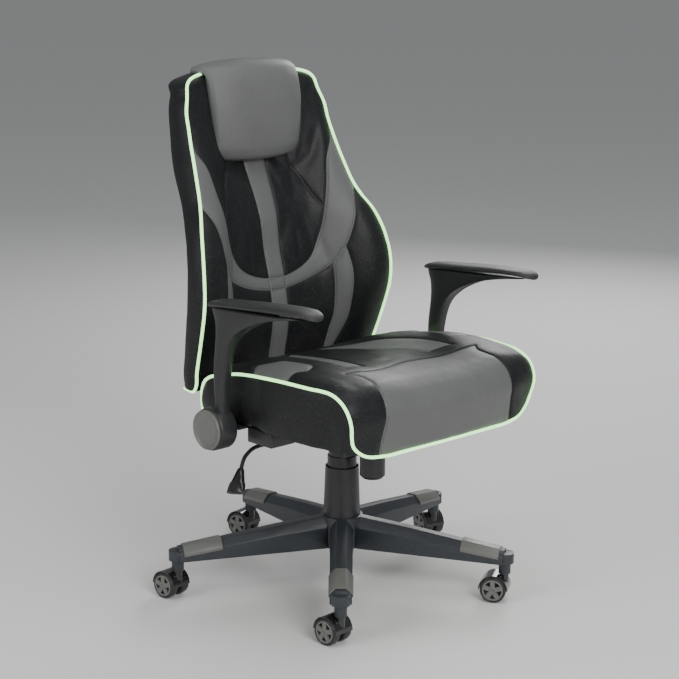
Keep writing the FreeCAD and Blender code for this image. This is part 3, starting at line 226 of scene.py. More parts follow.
def tube(line: np.ndarray, radius: float, sides: int = 12) -> tuple[np.ndarray, list]:
    """Sweeps a round section along a line, with a rounded end at each tip.

    Args:
        line: The centre line's points.
        radius: The section's radius.
        sides: How many faces go round.
    Returns:
        The points and the faces.
    """
    aims = np.gradient(line, axis=0)
    aims /= np.linalg.norm(aims, axis=1)[:, None]
    normal = np.cross(aims[0], [0, 0, 1.0])
    if np.linalg.norm(normal) < 0.1:
        normal = np.cross(aims[0], [1.0, 0, 0])
    ends = [(0, -0.95, 0.35), (0, -0.6, 0.8)], [(-1, 0.6, 0.8), (-1, 0.95, 0.35)]
    first, last = ([(line[i] + aims[i] * radius * shift, aims[i], radius * grow) for i, shift, grow in end]
                   for end in ends)
    stations = first + [(point, aim, radius) for point, aim in zip(line, aims)] + last
    turn = np.linspace(0, 2 * math.pi, sides, endpoint=False)
    rings = []
    for point, aim, reach in stations:
        normal = normal - aim * float(normal @ aim)
        normal /= np.linalg.norm(normal)
        other = np.cross(aim, normal)
        rings.append(point + reach * (np.cos(turn)[:, None] * normal + np.sin(turn)[:, None] * other))
    return loft(np.array(rings))


def joined(*parts: tuple[np.ndarray, list]) -> tuple[np.ndarray, list]:
    """Puts several sets of points and faces into one.

    Args:
        *parts: Pairs of points and faces.
    Returns:
        The points and the faces of all of them.
    """
    verts, faces, start = [], [], 0
    for points, sides in parts:
        verts.append(points)
        faces += [tuple(int(i) + start for i in side) for side in sides]
        start += len(points)
    return np.concatenate(verts), faces


def plain_mesh(obj: bpy.types.Object) -> None:
    """Turns an object's modifiers into its mesh and removes them.

    Args:
        obj: The object, with its modifiers set up.
    """
    depsgraph = bpy.context.evaluated_depsgraph_get()
    mesh = bpy.data.meshes.new_from_object(obj.evaluated_get(depsgraph), depsgraph=depsgraph)
    obj.modifiers.clear()
    obj.data = mesh


def coordinates(mesh: bpy.types.Mesh) -> np.ndarray:
    """Reads a mesh's points in millimetres."""
    flat = np.empty(len(mesh.vertices) * 3)
    mesh.vertices.foreach_get("co", flat)
    return flat.reshape(-1, 3) / MM


def set_coordinates(mesh: bpy.types.Mesh, points: np.ndarray) -> None:
    """Writes a mesh's points, given in millimetres."""
    mesh.vertices.foreach_set("co", (points * MM).ravel())
    mesh.update()


def normals(mesh: bpy.types.Mesh) -> np.ndarray:
    """Reads a mesh's normals at its points."""
    flat = np.empty(len(mesh.vertices) * 3)
    mesh.vertices.foreach_get("normal", flat)
    return flat.reshape(-1, 3)


def set_attribute(mesh: bpy.types.Mesh, name: str, values: np.ndarray) -> None:
    """Stores one number, or three, at each point of a mesh.

    Args:
        mesh: The mesh.
        name: The attribute's name.
        values: One number, or a row of three, for each point.
    """
    kind = "FLOAT" if values.ndim == 1 else "FLOAT_VECTOR"
    if name in mesh.attributes:
        mesh.attributes.remove(mesh.attributes[name])
    layer = mesh.attributes.new(name, kind, "POINT")
    layer.data.foreach_set("value" if kind == "FLOAT" else "vector", values.astype(float).ravel())


def get_vectors(mesh: bpy.types.Mesh, name: str) -> np.ndarray:
    """Reads three numbers at each point of a mesh.

    Args:
        mesh: The mesh.
        name: The attribute's name.
    Returns:
        One row for each point.
    """
    flat = np.empty(len(mesh.vertices) * 3)
    mesh.attributes[name].data.foreach_get("vector", flat)
    return flat.reshape(-1, 3)


# ---------------------------------------------------------------- shader groups and finishes
class Grain(Enum):
    """What a surface shows close up."""

    LEATHER = "leather grain"
    MOULDED = "moulded texture"
    BRUSHED = "brushed metal"
    VENEER = "wood veneer"


def group_tree(name: str, inputs: Sequence[tuple], outputs: Sequence[str]) -> tuple:
    """Starts a shader group with named sockets.

    Args:
        name: The group's name.
        inputs: Pairs of socket name and default value; the vector input comes as None.
        outputs: Names of number outputs.
    Returns:
        The tree, its input node and its output node.
    """
    tree = bpy.data.node_groups.new(name, "ShaderNodeTree")
    for label, value in inputs:
        kind = "NodeSocketVector" if value is None else "NodeSocketFloat"
        socket = tree.interface.new_socket(label, in_out="INPUT", socket_type=kind)
        if value is not None:
            socket.default_value = value
    for label in outputs:
        tree.interface.new_socket(label, in_out="OUTPUT", socket_type="NodeSocketFloat")
    return tree, tree.nodes.new("NodeGroupInput"), tree.nodes.new("NodeGroupOutput")


def mathematics(tree: bpy.types.NodeTree, operation: str, first, second) -> bpy.types.NodeSocket:
    """Adds a Math node; a number or a socket may be given for each side.

    Args:
        tree: The tree to add it to.
        operation: What the node does.
        first: The first value.
        second: The second value.
    Returns:
        The node's output.
    """
    node = tree.nodes.new("ShaderNodeMath")
    node.operation = operation
    for socket, value in zip(node.inputs, (first, second)):
        if isinstance(value, (int, float)):
            socket.default_value = value
        else:
            tree.links.new(value, socket)
    return node.outputs[0]


def noise_node(tree: bpy.types.NodeTree, vector, scale, detail: float = 2.0,
               distortion: float = 0.0) -> bpy.types.NodeSocket:
    """Adds a Noise texture and returns its factor.

    Args:
        tree: The tree to add it to.
        vector: The socket that gives the place.
        scale: Its scale, as a number or a socket.
        detail: Its detail.
        distortion: Its distortion.
    Returns:
        The factor socket.
    """
    node = tree.nodes.new("ShaderNodeTexNoise")
    node.inputs["Detail"].default_value = detail
    node.inputs["Distortion"].default_value = distortion
    tree.links.new(vector, node.inputs["Vector"])
    if isinstance(scale, (int, float)):
        node.inputs["Scale"].default_value = scale
    else:
        tree.links.new(scale, node.inputs["Scale"])
    return node.outputs[0]


class GroupShelf:
    """The shader groups that several finishes share, each built once."""

    def __init__(self) -> None:
        """Builds every group."""
        self.groups = {Grain.LEATHER: self.leather(), Grain.MOULDED: self.moulded(),
                       Grain.BRUSHED: self.brushed(), Grain.VENEER: self.veneer()}
        self.handling = self.make_handling()

    @staticmethod
    def leather() -> bpy.types.NodeTree:
        """Pebbled grain: cells of about a millimetre with creases between them; the tone is random patches
        plus painted shade that darkens the creases.
        """
        tree, source, sink = group_tree("Leather Grain", [("Vector", None), ("Cells", 700.0)],
                                        ["Height", "Tone"])
        warp = noise_node(tree, source.outputs["Vector"], 160.0, 3.0)
        mix = tree.nodes.new("ShaderNodeMix")
        mix.data_type = "VECTOR"
        mix.inputs["Factor"].default_value = 0.012
        tree.links.new(source.outputs["Vector"], mix.inputs["A"])
        tree.links.new(warp, mix.inputs["B"])
        cells = tree.nodes.new("ShaderNodeTexVoronoi")
        cells.feature = "DISTANCE_TO_EDGE"
        tree.links.new(mix.outputs["Result"], cells.inputs["Vector"])
        tree.links.new(source.outputs["Cells"], cells.inputs["Scale"])
        pebble = mathematics(tree, "MINIMUM", mathematics(tree, "MULTIPLY", cells.outputs[0], 3.0), 1.0)
        fine = noise_node(tree, source.outputs["Vector"], 2600.0, 2.0)
        height = mathematics(tree, "ADD", mathematics(tree, "POWER", pebble, 0.6),
                             mathematics(tree, "MULTIPLY", fine, 0.25))
        tree.links.new(height, sink.inputs["Height"])
        # Tone: random patches of colour, plus painted shade that makes the creases between the cells darker.
        patch = noise_node(tree, source.outputs["Vector"], 14.0, 4.0)
        tone = mathematics(tree, "ADD", mathematics(tree, "MULTIPLY", patch, 0.7),
                           mathematics(tree, "MULTIPLY", pebble, 0.3))
        tree.links.new(tone, sink.inputs["Tone"])
        return tree

    @staticmethod
    def moulded() -> bpy.types.NodeTree:
        """Fine spark texture of a plastic tool, with slow flow marks."""
        tree, source, sink = group_tree("Moulded Texture", [("Vector", None), ("Cells", 1500.0)],
                                        ["Height", "Tone"])
        spark = noise_node(tree, source.outputs["Vector"], source.outputs["Cells"], 2.0)
        tree.links.new(mathematics(tree, "POWER", spark, 1.4), sink.inputs["Height"])
        flow = noise_node(tree, source.outputs["Vector"], 22.0, 3.0, 0.6)
        tree.links.new(mathematics(tree, "ADD", mathematics(tree, "MULTIPLY", flow, 0.8),
                                   mathematics(tree, "MULTIPLY", spark, 0.2)), sink.inputs["Tone"])
        return tree

    @staticmethod
    def brushed() -> bpy.types.NodeTree:
        """Fine lines round or along a turned steel part."""
        tree, source, sink = group_tree("Brushed Metal", [("Vector", None), ("Cells", 900.0)],
                                        ["Height", "Tone"])
        stretch = tree.nodes.new("ShaderNodeMapping")
        stretch.inputs["Scale"].default_value = (0.06, 0.06, 1.0)
        tree.links.new(source.outputs["Vector"], stretch.inputs["Vector"])
        lines = noise_node(tree, stretch.outputs[0], source.outputs["Cells"], 3.0)
        tree.links.new(lines, sink.inputs["Height"])
        tree.links.new(lines, sink.inputs["Tone"])
        return tree

    @staticmethod
    def veneer() -> bpy.types.NodeTree:
        """Long wood figure."""
        tree, source, sink = group_tree("Wood Veneer", [("Vector", None), ("Cells", 60.0)],
                                        ["Height", "Tone"])
        stretch = tree.nodes.new("ShaderNodeMapping")
        stretch.inputs["Scale"].default_value = (1.0, 0.08, 1.0)
        tree.links.new(source.outputs["Vector"], stretch.inputs["Vector"])
        figure = noise_node(tree, stretch.outputs[0], source.outputs["Cells"], 5.0, 1.2)
        tree.links.new(figure, sink.inputs["Height"])
        tree.links.new(figure, sink.inputs["Tone"])
        return tree

    @staticmethod
    def make_handling() -> bpy.types.NodeTree:
        """Where hands have polished a surface and where dust has settled."""
        tree, source, sink = group_tree("Handling", [("Vector", None), ("Patches", 9.0), ("Amount", 0.1)],
                                        ["Rough", "Dust"])
        patch = noise_node(tree, source.outputs["Vector"], source.outputs["Patches"], 5.0, 0.3)
        centred = mathematics(tree, "SUBTRACT", patch, 0.5)
        tree.links.new(mathematics(tree, "MULTIPLY", centred, source.outputs["Amount"]), sink.inputs["Rough"])
        speck = noise_node(tree, source.outputs["Vector"], 420.0, 2.0)
        tree.links.new(mathematics(tree, "MULTIPLY", mathematics(tree, "POWER", speck, 6.0), patch),
                       sink.inputs["Dust"])
        return tree


@dataclass(frozen=True)
class Finish:
    """One surface finish.

    Attributes name the material, its two close colours, roughness, how metallic it is, its grain and
    the grain's cells per metre, the relief in millimetres, and its clear coat, sheen and glow.
    """

    name: str
    colour: tuple
    second: tuple
    rough: float
    grain: Grain = Grain.MOULDED
    metal: float = 0.0
    cells: float = 1500.0
    relief: float = 0.03
    coat: float = 0.0
    sheen: float = 0.0
    gloss: float = 0.5
    glow: float = 0.0
    panel: Optional[tuple] = None

    def build(self, shelf: GroupShelf) -> bpy.types.Material:
        """Makes the material.

        Args:
            shelf: The shared shader groups.
        Returns:
            The new material.
        """
        material = bpy.data.materials.new(self.name)
        material.use_nodes = True
        tree = material.node_tree
        shader = tree.nodes["Principled BSDF"]
        shader.inputs["Metallic"].default_value = self.metal
        shader.inputs["Coat Weight"].default_value = self.coat
        shader.inputs["Coat Roughness"].default_value = 0.12
        shader.inputs["Sheen Weight"].default_value = self.sheen
        shader.inputs["Specular IOR Level"].default_value = self.gloss
        place = tree.nodes.new("ShaderNodeTexCoord").outputs["Object"]
        grain = tree.nodes.new("ShaderNodeGroup")
        grain.node_tree = shelf.groups[self.grain]
        grain.inputs["Cells"].default_value = self.cells
        handling = tree.nodes.new("ShaderNodeGroup")
        handling.node_tree = shelf.handling
        handling.inputs["Amount"].default_value = 0.16 if self.metal < 0.5 else 0.1
        tree.links.new(place, grain.inputs["Vector"])
        tree.links.new(place, handling.inputs["Vector"])
        # With leather grain the tone carries painted shade: darker in the creases between the grain cells.
        colour = self.blend(tree, grain.outputs["Tone"], self.colour, self.second)
        if self.panel is not None:
            other = self.blend(tree, grain.outputs["Tone"], self.panel, tuple(c * 1.18 for c in self.panel))
            colour = self.blend(tree, self.panel_mask(tree), colour, other)
        dusty = self.blend(tree, handling.outputs["Dust"], colour, (0.42, 0.41, 0.39))
        tree.links.new(dusty, shader.inputs["Base Color"])
        rough = mathematics(tree, "ADD", handling.outputs["Rough"], self.rough)
        tree.links.new(rough, shader.inputs["Roughness"])
        bump = tree.nodes.new("ShaderNodeBump")
        bump.inputs["Strength"].default_value = 1.0
        bump.inputs["Distance"].default_value = self.relief * MM
        tree.links.new(grain.outputs["Height"], bump.inputs["Height"])
        tree.links.new(bump.outputs["Normal"], shader.inputs["Normal"])
        if self.glow > 0:
            shader.inputs["Emission Strength"].default_value = self.glow
            lit = self.blend(tree, grain.outputs["Tone"], self.colour, self.second)
            tree.links.new(lit, shader.inputs["Emission Color"])
        return material

    @staticmethod
    def blend(tree: bpy.types.NodeTree, factor: bpy.types.NodeSocket, first, second) -> bpy.types.NodeSocket:
        """Mixes two colours, each given as three numbers or as a socket.

        Args:
            tree: The material's tree.
            factor: The socket that chooses between them.
            first: The colour at 0.
            second: The colour at 1.
        Returns:
            The mixed colour's socket.
        """
        mix = tree.nodes.new("ShaderNodeMix")
        mix.data_type = "RGBA"
        tree.links.new(factor, mix.inputs["Factor"])
        for label, value in (("A", first), ("B", second)):
            socket = next(s for s in mix.inputs if s.name == label and s.type == "RGBA")
            if isinstance(value, tuple):
                socket.default_value = (*value, 1.0)
            else:
                tree.links.new(value, socket)
        return next(s for s in mix.outputs if s.type == "RGBA")

    @staticmethod
    def panel_mask(tree: bpy.types.NodeTree) -> bpy.types.NodeSocket:
        """Reads the signed distance to the panel's edge and turns it into a crisp mask."""
        edge = tree.nodes.new("ShaderNodeAttribute")
        edge.attribute_name = "panel"
        ramp = tree.nodes.new("ShaderNodeMapRange")
        ramp.inputs["From Min"].default_value = -0.35
        ramp.inputs["From Max"].default_value = 0.35
        tree.links.new(edge.outputs["Fac"], ramp.inputs["Value"])
        return ramp.outputs["Result"]


GREY = (0.115, 0.118, 0.116)
BLACK = (0.0055, 0.0058, 0.0068)
FINISHES = {
    "black_leather": Finish("Two-tone leather", BLACK, (0.011, 0.0115, 0.0135), 0.43, Grain.LEATHER,
                            cells=620.0, relief=0.07, gloss=0.26, panel=GREY),
    "grey_leather": Finish("Grey leather", GREY, (0.14, 0.143, 0.141), 0.44, Grain.LEATHER,
                           cells=620.0, relief=0.07, gloss=0.30),
    "thread": Finish("Thread", (0.02, 0.02, 0.022), (0.035, 0.035, 0.04), 0.7, cells=2500.0),
    "light_piping": Finish("Light piping", (0.40, 0.86, 0.33), (0.54, 0.96, 0.46), 0.35, cells=300.0,
                           glow=2.3),
    "base_nylon": Finish("Slate nylon", (0.020, 0.0245, 0.031), (0.030, 0.035, 0.042), 0.42, relief=0.05),
    "grey_plastic": Finish("Grey plastic", (0.122, 0.124, 0.115), (0.148, 0.150, 0.139), 0.40, relief=0.03),
    "cover_plastic": Finish("Column cover", (0.013, 0.013, 0.015), (0.022, 0.022, 0.025), 0.36, relief=0.02),
    "arm_nylon": Finish("Arm nylon", (0.012, 0.012, 0.0135), (0.019, 0.019, 0.022), 0.46, relief=0.05),
    "arm_pad_skin": Finish("Arm pad skin", (0.013, 0.013, 0.014), (0.021, 0.021, 0.023), 0.50, Grain.LEATHER,
                           cells=900.0, relief=0.05),
    "hood_gloss": Finish("Gloss black", (0.006, 0.006, 0.007), (0.010, 0.010, 0.012), 0.16, relief=0.006,
                         coat=0.6),
    "wheel_nylon": Finish("Wheel nylon", (0.012, 0.012, 0.013), (0.022, 0.022, 0.024), 0.38, relief=0.02),
    "caster_steel": Finish("Plated steel", (0.46, 0.46, 0.47), (0.58, 0.58, 0.59), 0.28, Grain.BRUSHED,
                           metal=1.0, cells=1500.0, relief=0.01),
    "bright_steel": Finish("Bright steel", (0.55, 0.55, 0.56), (0.66, 0.66, 0.67), 0.22, Grain.BRUSHED,
                           metal=1.0, cells=1500.0, relief=0.01),
    "spring_steel": Finish("Spring steel", (0.10, 0.10, 0.11), (0.16, 0.16, 0.17), 0.40, Grain.BRUSHED,
                           metal=1.0, cells=1500.0, relief=0.01),
    "zinc_screws": Finish("Zinc screws", (0.50, 0.50, 0.48), (0.62, 0.62, 0.60), 0.34, Grain.BRUSHED,
                          metal=1.0, cells=1800.0, relief=0.01),
    "lift_tube_paint": Finish("Lift paint", (0.012, 0.012, 0.013), (0.02, 0.02, 0.022), 0.30, relief=0.02),
    "mechanism_paint": Finish("Mechanism paint", (0.013, 0.013, 0.014), (0.022, 0.022, 0.024), 0.48,
                              relief=0.06),
    "acetal": Finish("Acetal", (0.60, 0.59, 0.55), (0.68, 0.67, 0.63), 0.40, relief=0.01),
    "plywood": Finish("Plywood", (0.36, 0.24, 0.13), (0.50, 0.36, 0.21), 0.62, Grain.VENEER, cells=60.0,
                      relief=0.08),
}


# ---------------------------------------------------------------- sewn panels
@dataclass(frozen=True)
class Panel:
    """A sewn patch or seam on a cushion, drawn on the cushion's own flat chart as (across, along).

    Attributes:
        seams: The sewn lines.
        outline: The closed line round a grey patch; empty for a seam alone.
        mirrored: Whether the same panel is sewn on the other side too.
    """

    seams: tuple
    outline: tuple = ()
    mirrored: bool = True

    def sides(self) -> list:
        """Factors that place the panel on each side where it is sewn."""
        return [np.array([1, 1]), np.array([-1, 1])] if self.mirrored else [np.array([1, 1])]


def pairs(line: np.ndarray) -> tuple:
    """A line's points as plain tuples."""
    return tuple((float(x), float(y)) for x, y in line)


def band(first: Line, second: Line, beyond: Line = ()) -> Panel:
    """A patch between two smooth seams, closed past the cushion's edge where it runs out of it.

    Args:
        first: One seam's points.
        second: The other seam's points, in the same direction.
        beyond: Points outside the cushion that close the patch from the second seam to the first.
    Returns:
        The panel; its sewn part is the two seams.
    """
    one, two = pairs(smooth_line(first, 40)), pairs(smooth_line(second, 40))
    return Panel((one, two), one + two[::-1] + tuple(beyond))


# ---------------------------------------------------------------- cushions
@dataclass
class Cushion:
    """A padded piece: a fine closed form, swollen as cloth, with sewn seams and stitches."""

    name: str
    node: str
    slot: str
    fill: float = 0.8
    cap: float = 12.0
    pressure: float = 4.0
    wall: int = 9
    stitch_gap: float = 3.4
    stitch_pitch: float = 5.6
    panels: list = field(default_factory=list)
    obj: Optional[bpy.types.Object] = None
    thread: Optional[bpy.types.Object] = None
    edge: Optional[np.ndarray] = None
    show: Optional[np.ndarray] = None
    walls: Optional[np.ndarray] = None

    def sheets(self) -> tuple[np.ndarray, np.ndarray, np.ndarray]:
        """The show face, the hidden face and the show face's chart, each rows by columns by three."""
        raise NotImplementedError

    def side_bulge(self) -> float:
        """How far the side wall stands out at its middle."""
        return 5.0

    def build_form(self) -> None:
        """Skins the show face, the walls and the hidden face into one closed mesh."""
        show, hidden, chart = self.sheets()
        rows, columns = show.shape[:2]
        wall = self.wall
        part = (np.arange(1, wall + 1) / (wall + 1))[None, :, None]
        swell = np.array([self.side_bulge(), 0, 0]) * np.sin(math.pi * part)
        right = show[:, -1:] * (1 - part) + hidden[:, -1:] * part + swell
        left = hidden[:, :1] * (1 - part) + show[:, :1] * part - swell
        rings = np.concatenate([show, right, hidden[:, ::-1], left], axis=1)
        size = rings.shape[1]
        verts = [rings.reshape(-1, 3)]
        faces = [(r * size + k, r * size + (k + 1) % size, (r + 1) * size + (k + 1) % size,
                  (r + 1) * size + k)
                 for r in range(rows - 1) for k in range(size)]
        start = rows * size
        for row in (0, rows - 1):
            fill = (show[row, 1:-1, None] * (1 - part[0][None]) + hidden[row, 1:-1, None] * part[0][None])
            verts.append(fill.reshape(-1, 3))

            def index(i: int, w: int, row: int = row, start: int = start) -> int:
                """The number of a cap's point, shared with the ring on the cap's border."""
                if w == 0:
                    return row * size + i
                if w == wall + 1:
                    return row * size + columns + wall + (columns - 1 - i)
                if i == columns - 1:
                    return row * size + columns + w - 1
                if i == 0:
                    return row * size + 2 * columns + wall + (wall - w)
                return start + (i - 1) * wall + w - 1

            faces += [(index(i, w), index(i + 1, w), index(i + 1, w + 1), index(i, w + 1))
                      for i in range(columns - 1) for w in range(wall + 1)]
            start += fill.reshape(-1, 3).shape[0]
        points = np.concatenate(verts)
        flat = np.zeros((len(points), 3))
        flat[:, :2] = OFF_CHART
        grid = (np.arange(rows)[:, None] * size + np.arange(columns)[None, :]).ravel()
        flat[grid] = chart.reshape(-1, 3)
        mesh = bpy.data.meshes.new(self.name)
        mesh.from_pydata((points * MM).tolist(), [], [list(f) for f in faces])
        self.obj = bpy.data.objects.new(self.name, mesh)
        bpy.context.scene.collection.objects.link(self.obj)
        set_attribute(mesh, "chart", flat)
        work = bmesh.new()
        work.from_mesh(mesh)
        bmesh.ops.recalc_face_normals(work, faces=work.faces)
        work.to_mesh(mesh)
        work.free()
        mesh.shade_smooth()
        self.edge = np.zeros(len(points), bool)
        self.edge[grid.reshape(rows, columns)[:, [0, -1]].ravel()] = True
        self.show = np.zeros(len(points), bool)
        self.show[grid] = True
        walls = (np.arange(rows)[:, None] * size
                 + np.concatenate([np.arange(columns, columns + wall),
                                   np.arange(2 * columns + wall, size)])[None, :]).ravel()
        self.walls = np.zeros(len(points), bool)
        self.walls[walls] = True

    def seam_distance(self, chart: np.ndarray) -> np.ndarray:
        """Each chart point's distance to the nearest seam."""
        best = np.full(len(chart), 99.0)
        near = chart[:, 0] < ON_CHART
        for line in self.seam_lines():
            best[near] = np.minimum(best[near], distance_to(chart[near, :2], line))
        return best

    def seam_lines(self) -> list:
        """Every sewn line of every panel, on each side where it is sewn."""
        return [np.array(seam, float) * side for panel in self.panels for side in panel.sides()
                for seam in panel.seams]

    def inflate(self) -> None:
        """Lets the cover swell between its seams, then limits how far each point has moved."""
        mesh = self.obj.data
        start = coordinates(mesh)
        chart = get_vectors(mesh, "chart")
        held = ~(self.show | self.walls) | self.edge | (self.seam_distance(chart) < SEAM_HOLD)
        group = self.obj.vertex_groups.new(name="held")
        group.add([int(i) for i in np.flatnonzero(held)], 1.0, "REPLACE")
        cloth = self.obj.modifiers.new("Swell", "CLOTH")
        settings = cloth.settings
        settings.quality = 4
        settings.mass = 0.4
        settings.tension_stiffness = settings.compression_stiffness = 14
        settings.shear_stiffness = 8
        settings.bending_stiffness = 2.0
        settings.use_pressure = True
        settings.uniform_pressure_force = self.pressure
        settings.vertex_group_mass = "held"
        settings.effector_weights.gravity = 0
        cloth.collision_settings.use_collision = False
        cloth.collision_settings.use_self_collision = False
        scene = bpy.context.scene
        for step in range(1, SWELL_FRAMES + 1):
            scene.frame_set(step)
        plain_mesh(self.obj)
        scene.frame_set(1)
        moved = coordinates(self.obj.data) - start
        far = np.linalg.norm(moved, axis=1)[:, None]
        set_coordinates(self.obj.data, start + moved * np.minimum(1, self.cap / np.maximum(far, 1e-6)))
        self.obj.vertex_groups.clear()

    def finish_cover(self) -> None:
        """Subdivides, sews the seams in, marks the panels and adds slight creases."""
        smooth = self.obj.modifiers.new("Smooth", "SUBSURF")
        smooth.levels = smooth.render_levels = 1
        plain_mesh(self.obj)
        mesh = self.obj.data
        points, aims, chart = coordinates(mesh), normals(mesh), get_vectors(mesh, "chart")
        seam = self.seam_distance(chart)
        depth = 2.3 * np.exp(-(seam / 2.4) ** 2) + 1.1 * np.exp(-(seam / 9.0) ** 2)
        crease = np.array([noise.noise(Vector(p) * 0.022) * 0.9 + noise.noise(Vector(p) * 0.06) * 0.35
                           for p in points])
        crease *= np.clip(seam / 30, 0.15, 1.0)
        set_coordinates(mesh, points + aims * (crease - depth)[:, None])
        mark = np.full(len(points), -MARK_REACH)
        near = chart[:, 0] < ON_CHART
        for panel in self.panels:
            for side in panel.sides() if panel.outline else []:
                outline = np.array(panel.outline, float) * side
                gap = distance_to(chart[near, :2], np.concatenate([outline, outline[:1]]))
                sign = np.where(inside(chart[near, :2], outline), 1.0, -1.0)
                mark[near] = np.maximum(mark[near], np.clip(gap * sign, -MARK_REACH, MARK_REACH))
        set_attribute(mesh, "panel", mark)
        mesh.shade_smooth()

    def stitch_rows(self) -> tuple[np.ndarray, np.ndarray, np.ndarray]:
        """Places, directions and normals of every stitch, read off the finished cover."""
        mesh = self.obj.data
        chart, points, aims = get_vectors(mesh, "chart"), coordinates(mesh), normals(mesh)
        near = np.flatnonzero(chart[:, 0] < ON_CHART)
        tree = kdtree.KDTree(len(near))
        for i in near:
            tree.insert((chart[i, 0], chart[i, 1], 0), int(i))
        tree.balance()
        spots, ways, ups = [], [], []
        for line in self.seam_lines():
            count = max(3, int(line_length(line) / self.stitch_pitch))
            even = smooth_line(line, count)
            along = np.gradient(even, axis=0)
            along /= np.linalg.norm(along, axis=1)[:, None] + 1e-9
            across = np.stack([-along[:, 1], along[:, 0]], axis=1)
            for side in (-self.stitch_gap, self.stitch_gap):
                chain = []
                for x, y in even + across * side:
                    _, i, gap = tree.find((x, y, 0))
                    chain.append(int(i) if gap < 3.5 else -1)
                for before, here, after in zip(chain[:-2], chain[1:-1], chain[2:]):
                    if min(before, here, after) >= 0 and before != after:
                        spots.append(points[here] + aims[here] * 0.15)
                        ways.append(points[after] - points[before])
                        ups.append(aims[here])
        return np.array(spots), np.array(ways), np.array(ups)

    def build(self) -> None:
        """Makes the cushion and its stitches and fixes them to the seat."""
        self.build_form()
        self.inflate()
        self.finish_cover()
        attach(self.obj, "seat")
        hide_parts(self.node)
        spots, ways, ups = self.stitch_rows()
        if len(spots):
            self.thread = stitches(self.name + "_stitches", spots, ways, ups)
            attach(self.thread, "seat")
        LOG.info("%s: %d points, %d stitches", self.name, len(self.obj.data.vertices), len(spots))

    def dress(self, finishes: dict) -> None:
        """Gives the cover and the thread their finishes."""
        self.obj.data.materials.clear()
        self.obj.data.materials.append(finishes[self.slot])
        if self.thread is not None:
            self.thread.data.materials.clear()
            self.thread.data.materials.append(finishes["thread"])


class NodeTreeMaker:
    """Small helper that lays out a Geometry Nodes tree."""

    def __init__(self, name: str, sizes: Sequence[tuple]) -> None:
        """Starts a tree.

        Args:
            name: The tree's name.
            sizes: Pairs of input name and default value.
        """
        self.tree = bpy.data.node_groups.new(name, "GeometryNodeTree")
        face = self.tree.interface
        face.new_socket("Geometry", in_out="INPUT", socket_type="NodeSocketGeometry")
        self.ids = {}
        for label, value in sizes:
            kind = "NodeSocketInt" if isinstance(value, int) else "NodeSocketFloat"
            socket = face.new_socket(label, in_out="INPUT", socket_type=kind)
            socket.default_value = value
            self.ids[label] = socket.identifier
        socket = face.new_socket("Material", in_out="INPUT", socket_type="NodeSocketMaterial")
        self.ids["Material"] = socket.identifier
        face.new_socket("Geometry", in_out="OUTPUT", socket_type="NodeSocketGeometry")
        self.source = self.tree.nodes.new("NodeGroupInput")
        self.sink = self.tree.nodes.new("NodeGroupOutput")

    def node(self, kind: str, links: Optional[dict] = None, values: Optional[dict] = None,
             **settings) -> bpy.types.Node:
        """Adds a node, sets it up and links its inputs.

        Args:
            kind: The node's type.
            links: Input name to the socket that feeds it.
            values: Input name to its constant value.
            **settings: The node's own properties.
        Returns:
            The node.
        """
        node = self.tree.nodes.new(kind)
        for key, value in settings.items():
            setattr(node, key, value)
        for key, value in (values or {}).items():
            node.inputs[key].default_value = value
        for key, socket in (links or {}).items():
            self.tree.links.new(socket, node.inputs[key])
        return node

    def close(self, geometry: bpy.types.NodeSocket) -> None:
        """Ends the tree with Realize Instances and Set Material."""
        real = self.node("GeometryNodeRealizeInstances", {"Geometry": geometry})
        dressed = self.node("GeometryNodeSetMaterial", {"Geometry": real.outputs[0],
                                                        "Material": self.source.outputs["Material"]})
        self.tree.links.new(dressed.outputs[0], self.sink.inputs["Geometry"])

    def apply(self, obj: bpy.types.Object, values: dict) -> None:
        """Runs the tree on an object and keeps the result as its mesh."""
        modifier = obj.modifiers.new(self.tree.name, "NODES")
        modifier.node_group = self.tree
        for label, value in values.items():
            modifier[self.ids[label]] = value
        plain_mesh(obj)


def stitch_tree() -> NodeTreeMaker:
    """The tree that lays a stitch on every point, turned to its seam."""
    maker = NodeTreeMaker("Stitch Row", [("Length", 0.0042), ("Thickness", 0.00075)])
    source = maker.source.outputs
    bead = maker.node("GeometryNodeMeshUVSphere", values={"Segments": 6, "Rings": 4, "Radius": 0.5})
    shape = maker.node("ShaderNodeCombineXYZ", {"X": source["Length"], "Y": source["Thickness"],
                                                "Z": source["Thickness"]})
    sized = maker.node("GeometryNodeTransform", {"Geometry": bead.outputs["Mesh"], "Scale": shape.outputs[0]})
    way = maker.node("GeometryNodeInputNamedAttribute", values={"Name": "way"}, data_type="FLOAT_VECTOR")
    up = maker.node("GeometryNodeInputNamedAttribute", values={"Name": "up"}, data_type="FLOAT_VECTOR")
    turned = maker.node("FunctionNodeAlignRotationToVector", {"Vector": way.outputs["Attribute"]}, axis="X")
    raised = maker.node("FunctionNodeAlignRotationToVector",
                        {"Rotation": turned.outputs[0], "Vector": up.outputs["Attribute"]}, axis="Z",
                        pivot_axis="X")
    row = maker.node("GeometryNodeInstanceOnPoints",
                     {"Points": source["Geometry"], "Instance": sized.outputs[0],
                      "Rotation": raised.outputs[0]})
    maker.close(row.outputs[0])
    return maker


TREES: dict = {}


def stitches(name: str, spots: np.ndarray, ways: np.ndarray, ups: np.ndarray) -> bpy.types.Object:
    """Makes one mesh of stitches.

    Args:
        name: The piece's name.
        spots: Where each stitch lies, in millimetres.
        ways: Which way each one runs.
        ups: The cover's normal there.
    Returns:
        The new object.
    """
    mesh = bpy.data.meshes.new(name)
    mesh.from_pydata((spots * MM).tolist(), [], [])
    set_attribute(mesh, "way", ways)
    set_attribute(mesh, "up", ups)
    obj = bpy.data.objects.new(name, mesh)
    bpy.context.scene.collection.objects.link(obj)
    TREES["stitch"].apply(obj, {"Length": 0.0042, "Thickness": 0.00075})
    return obj


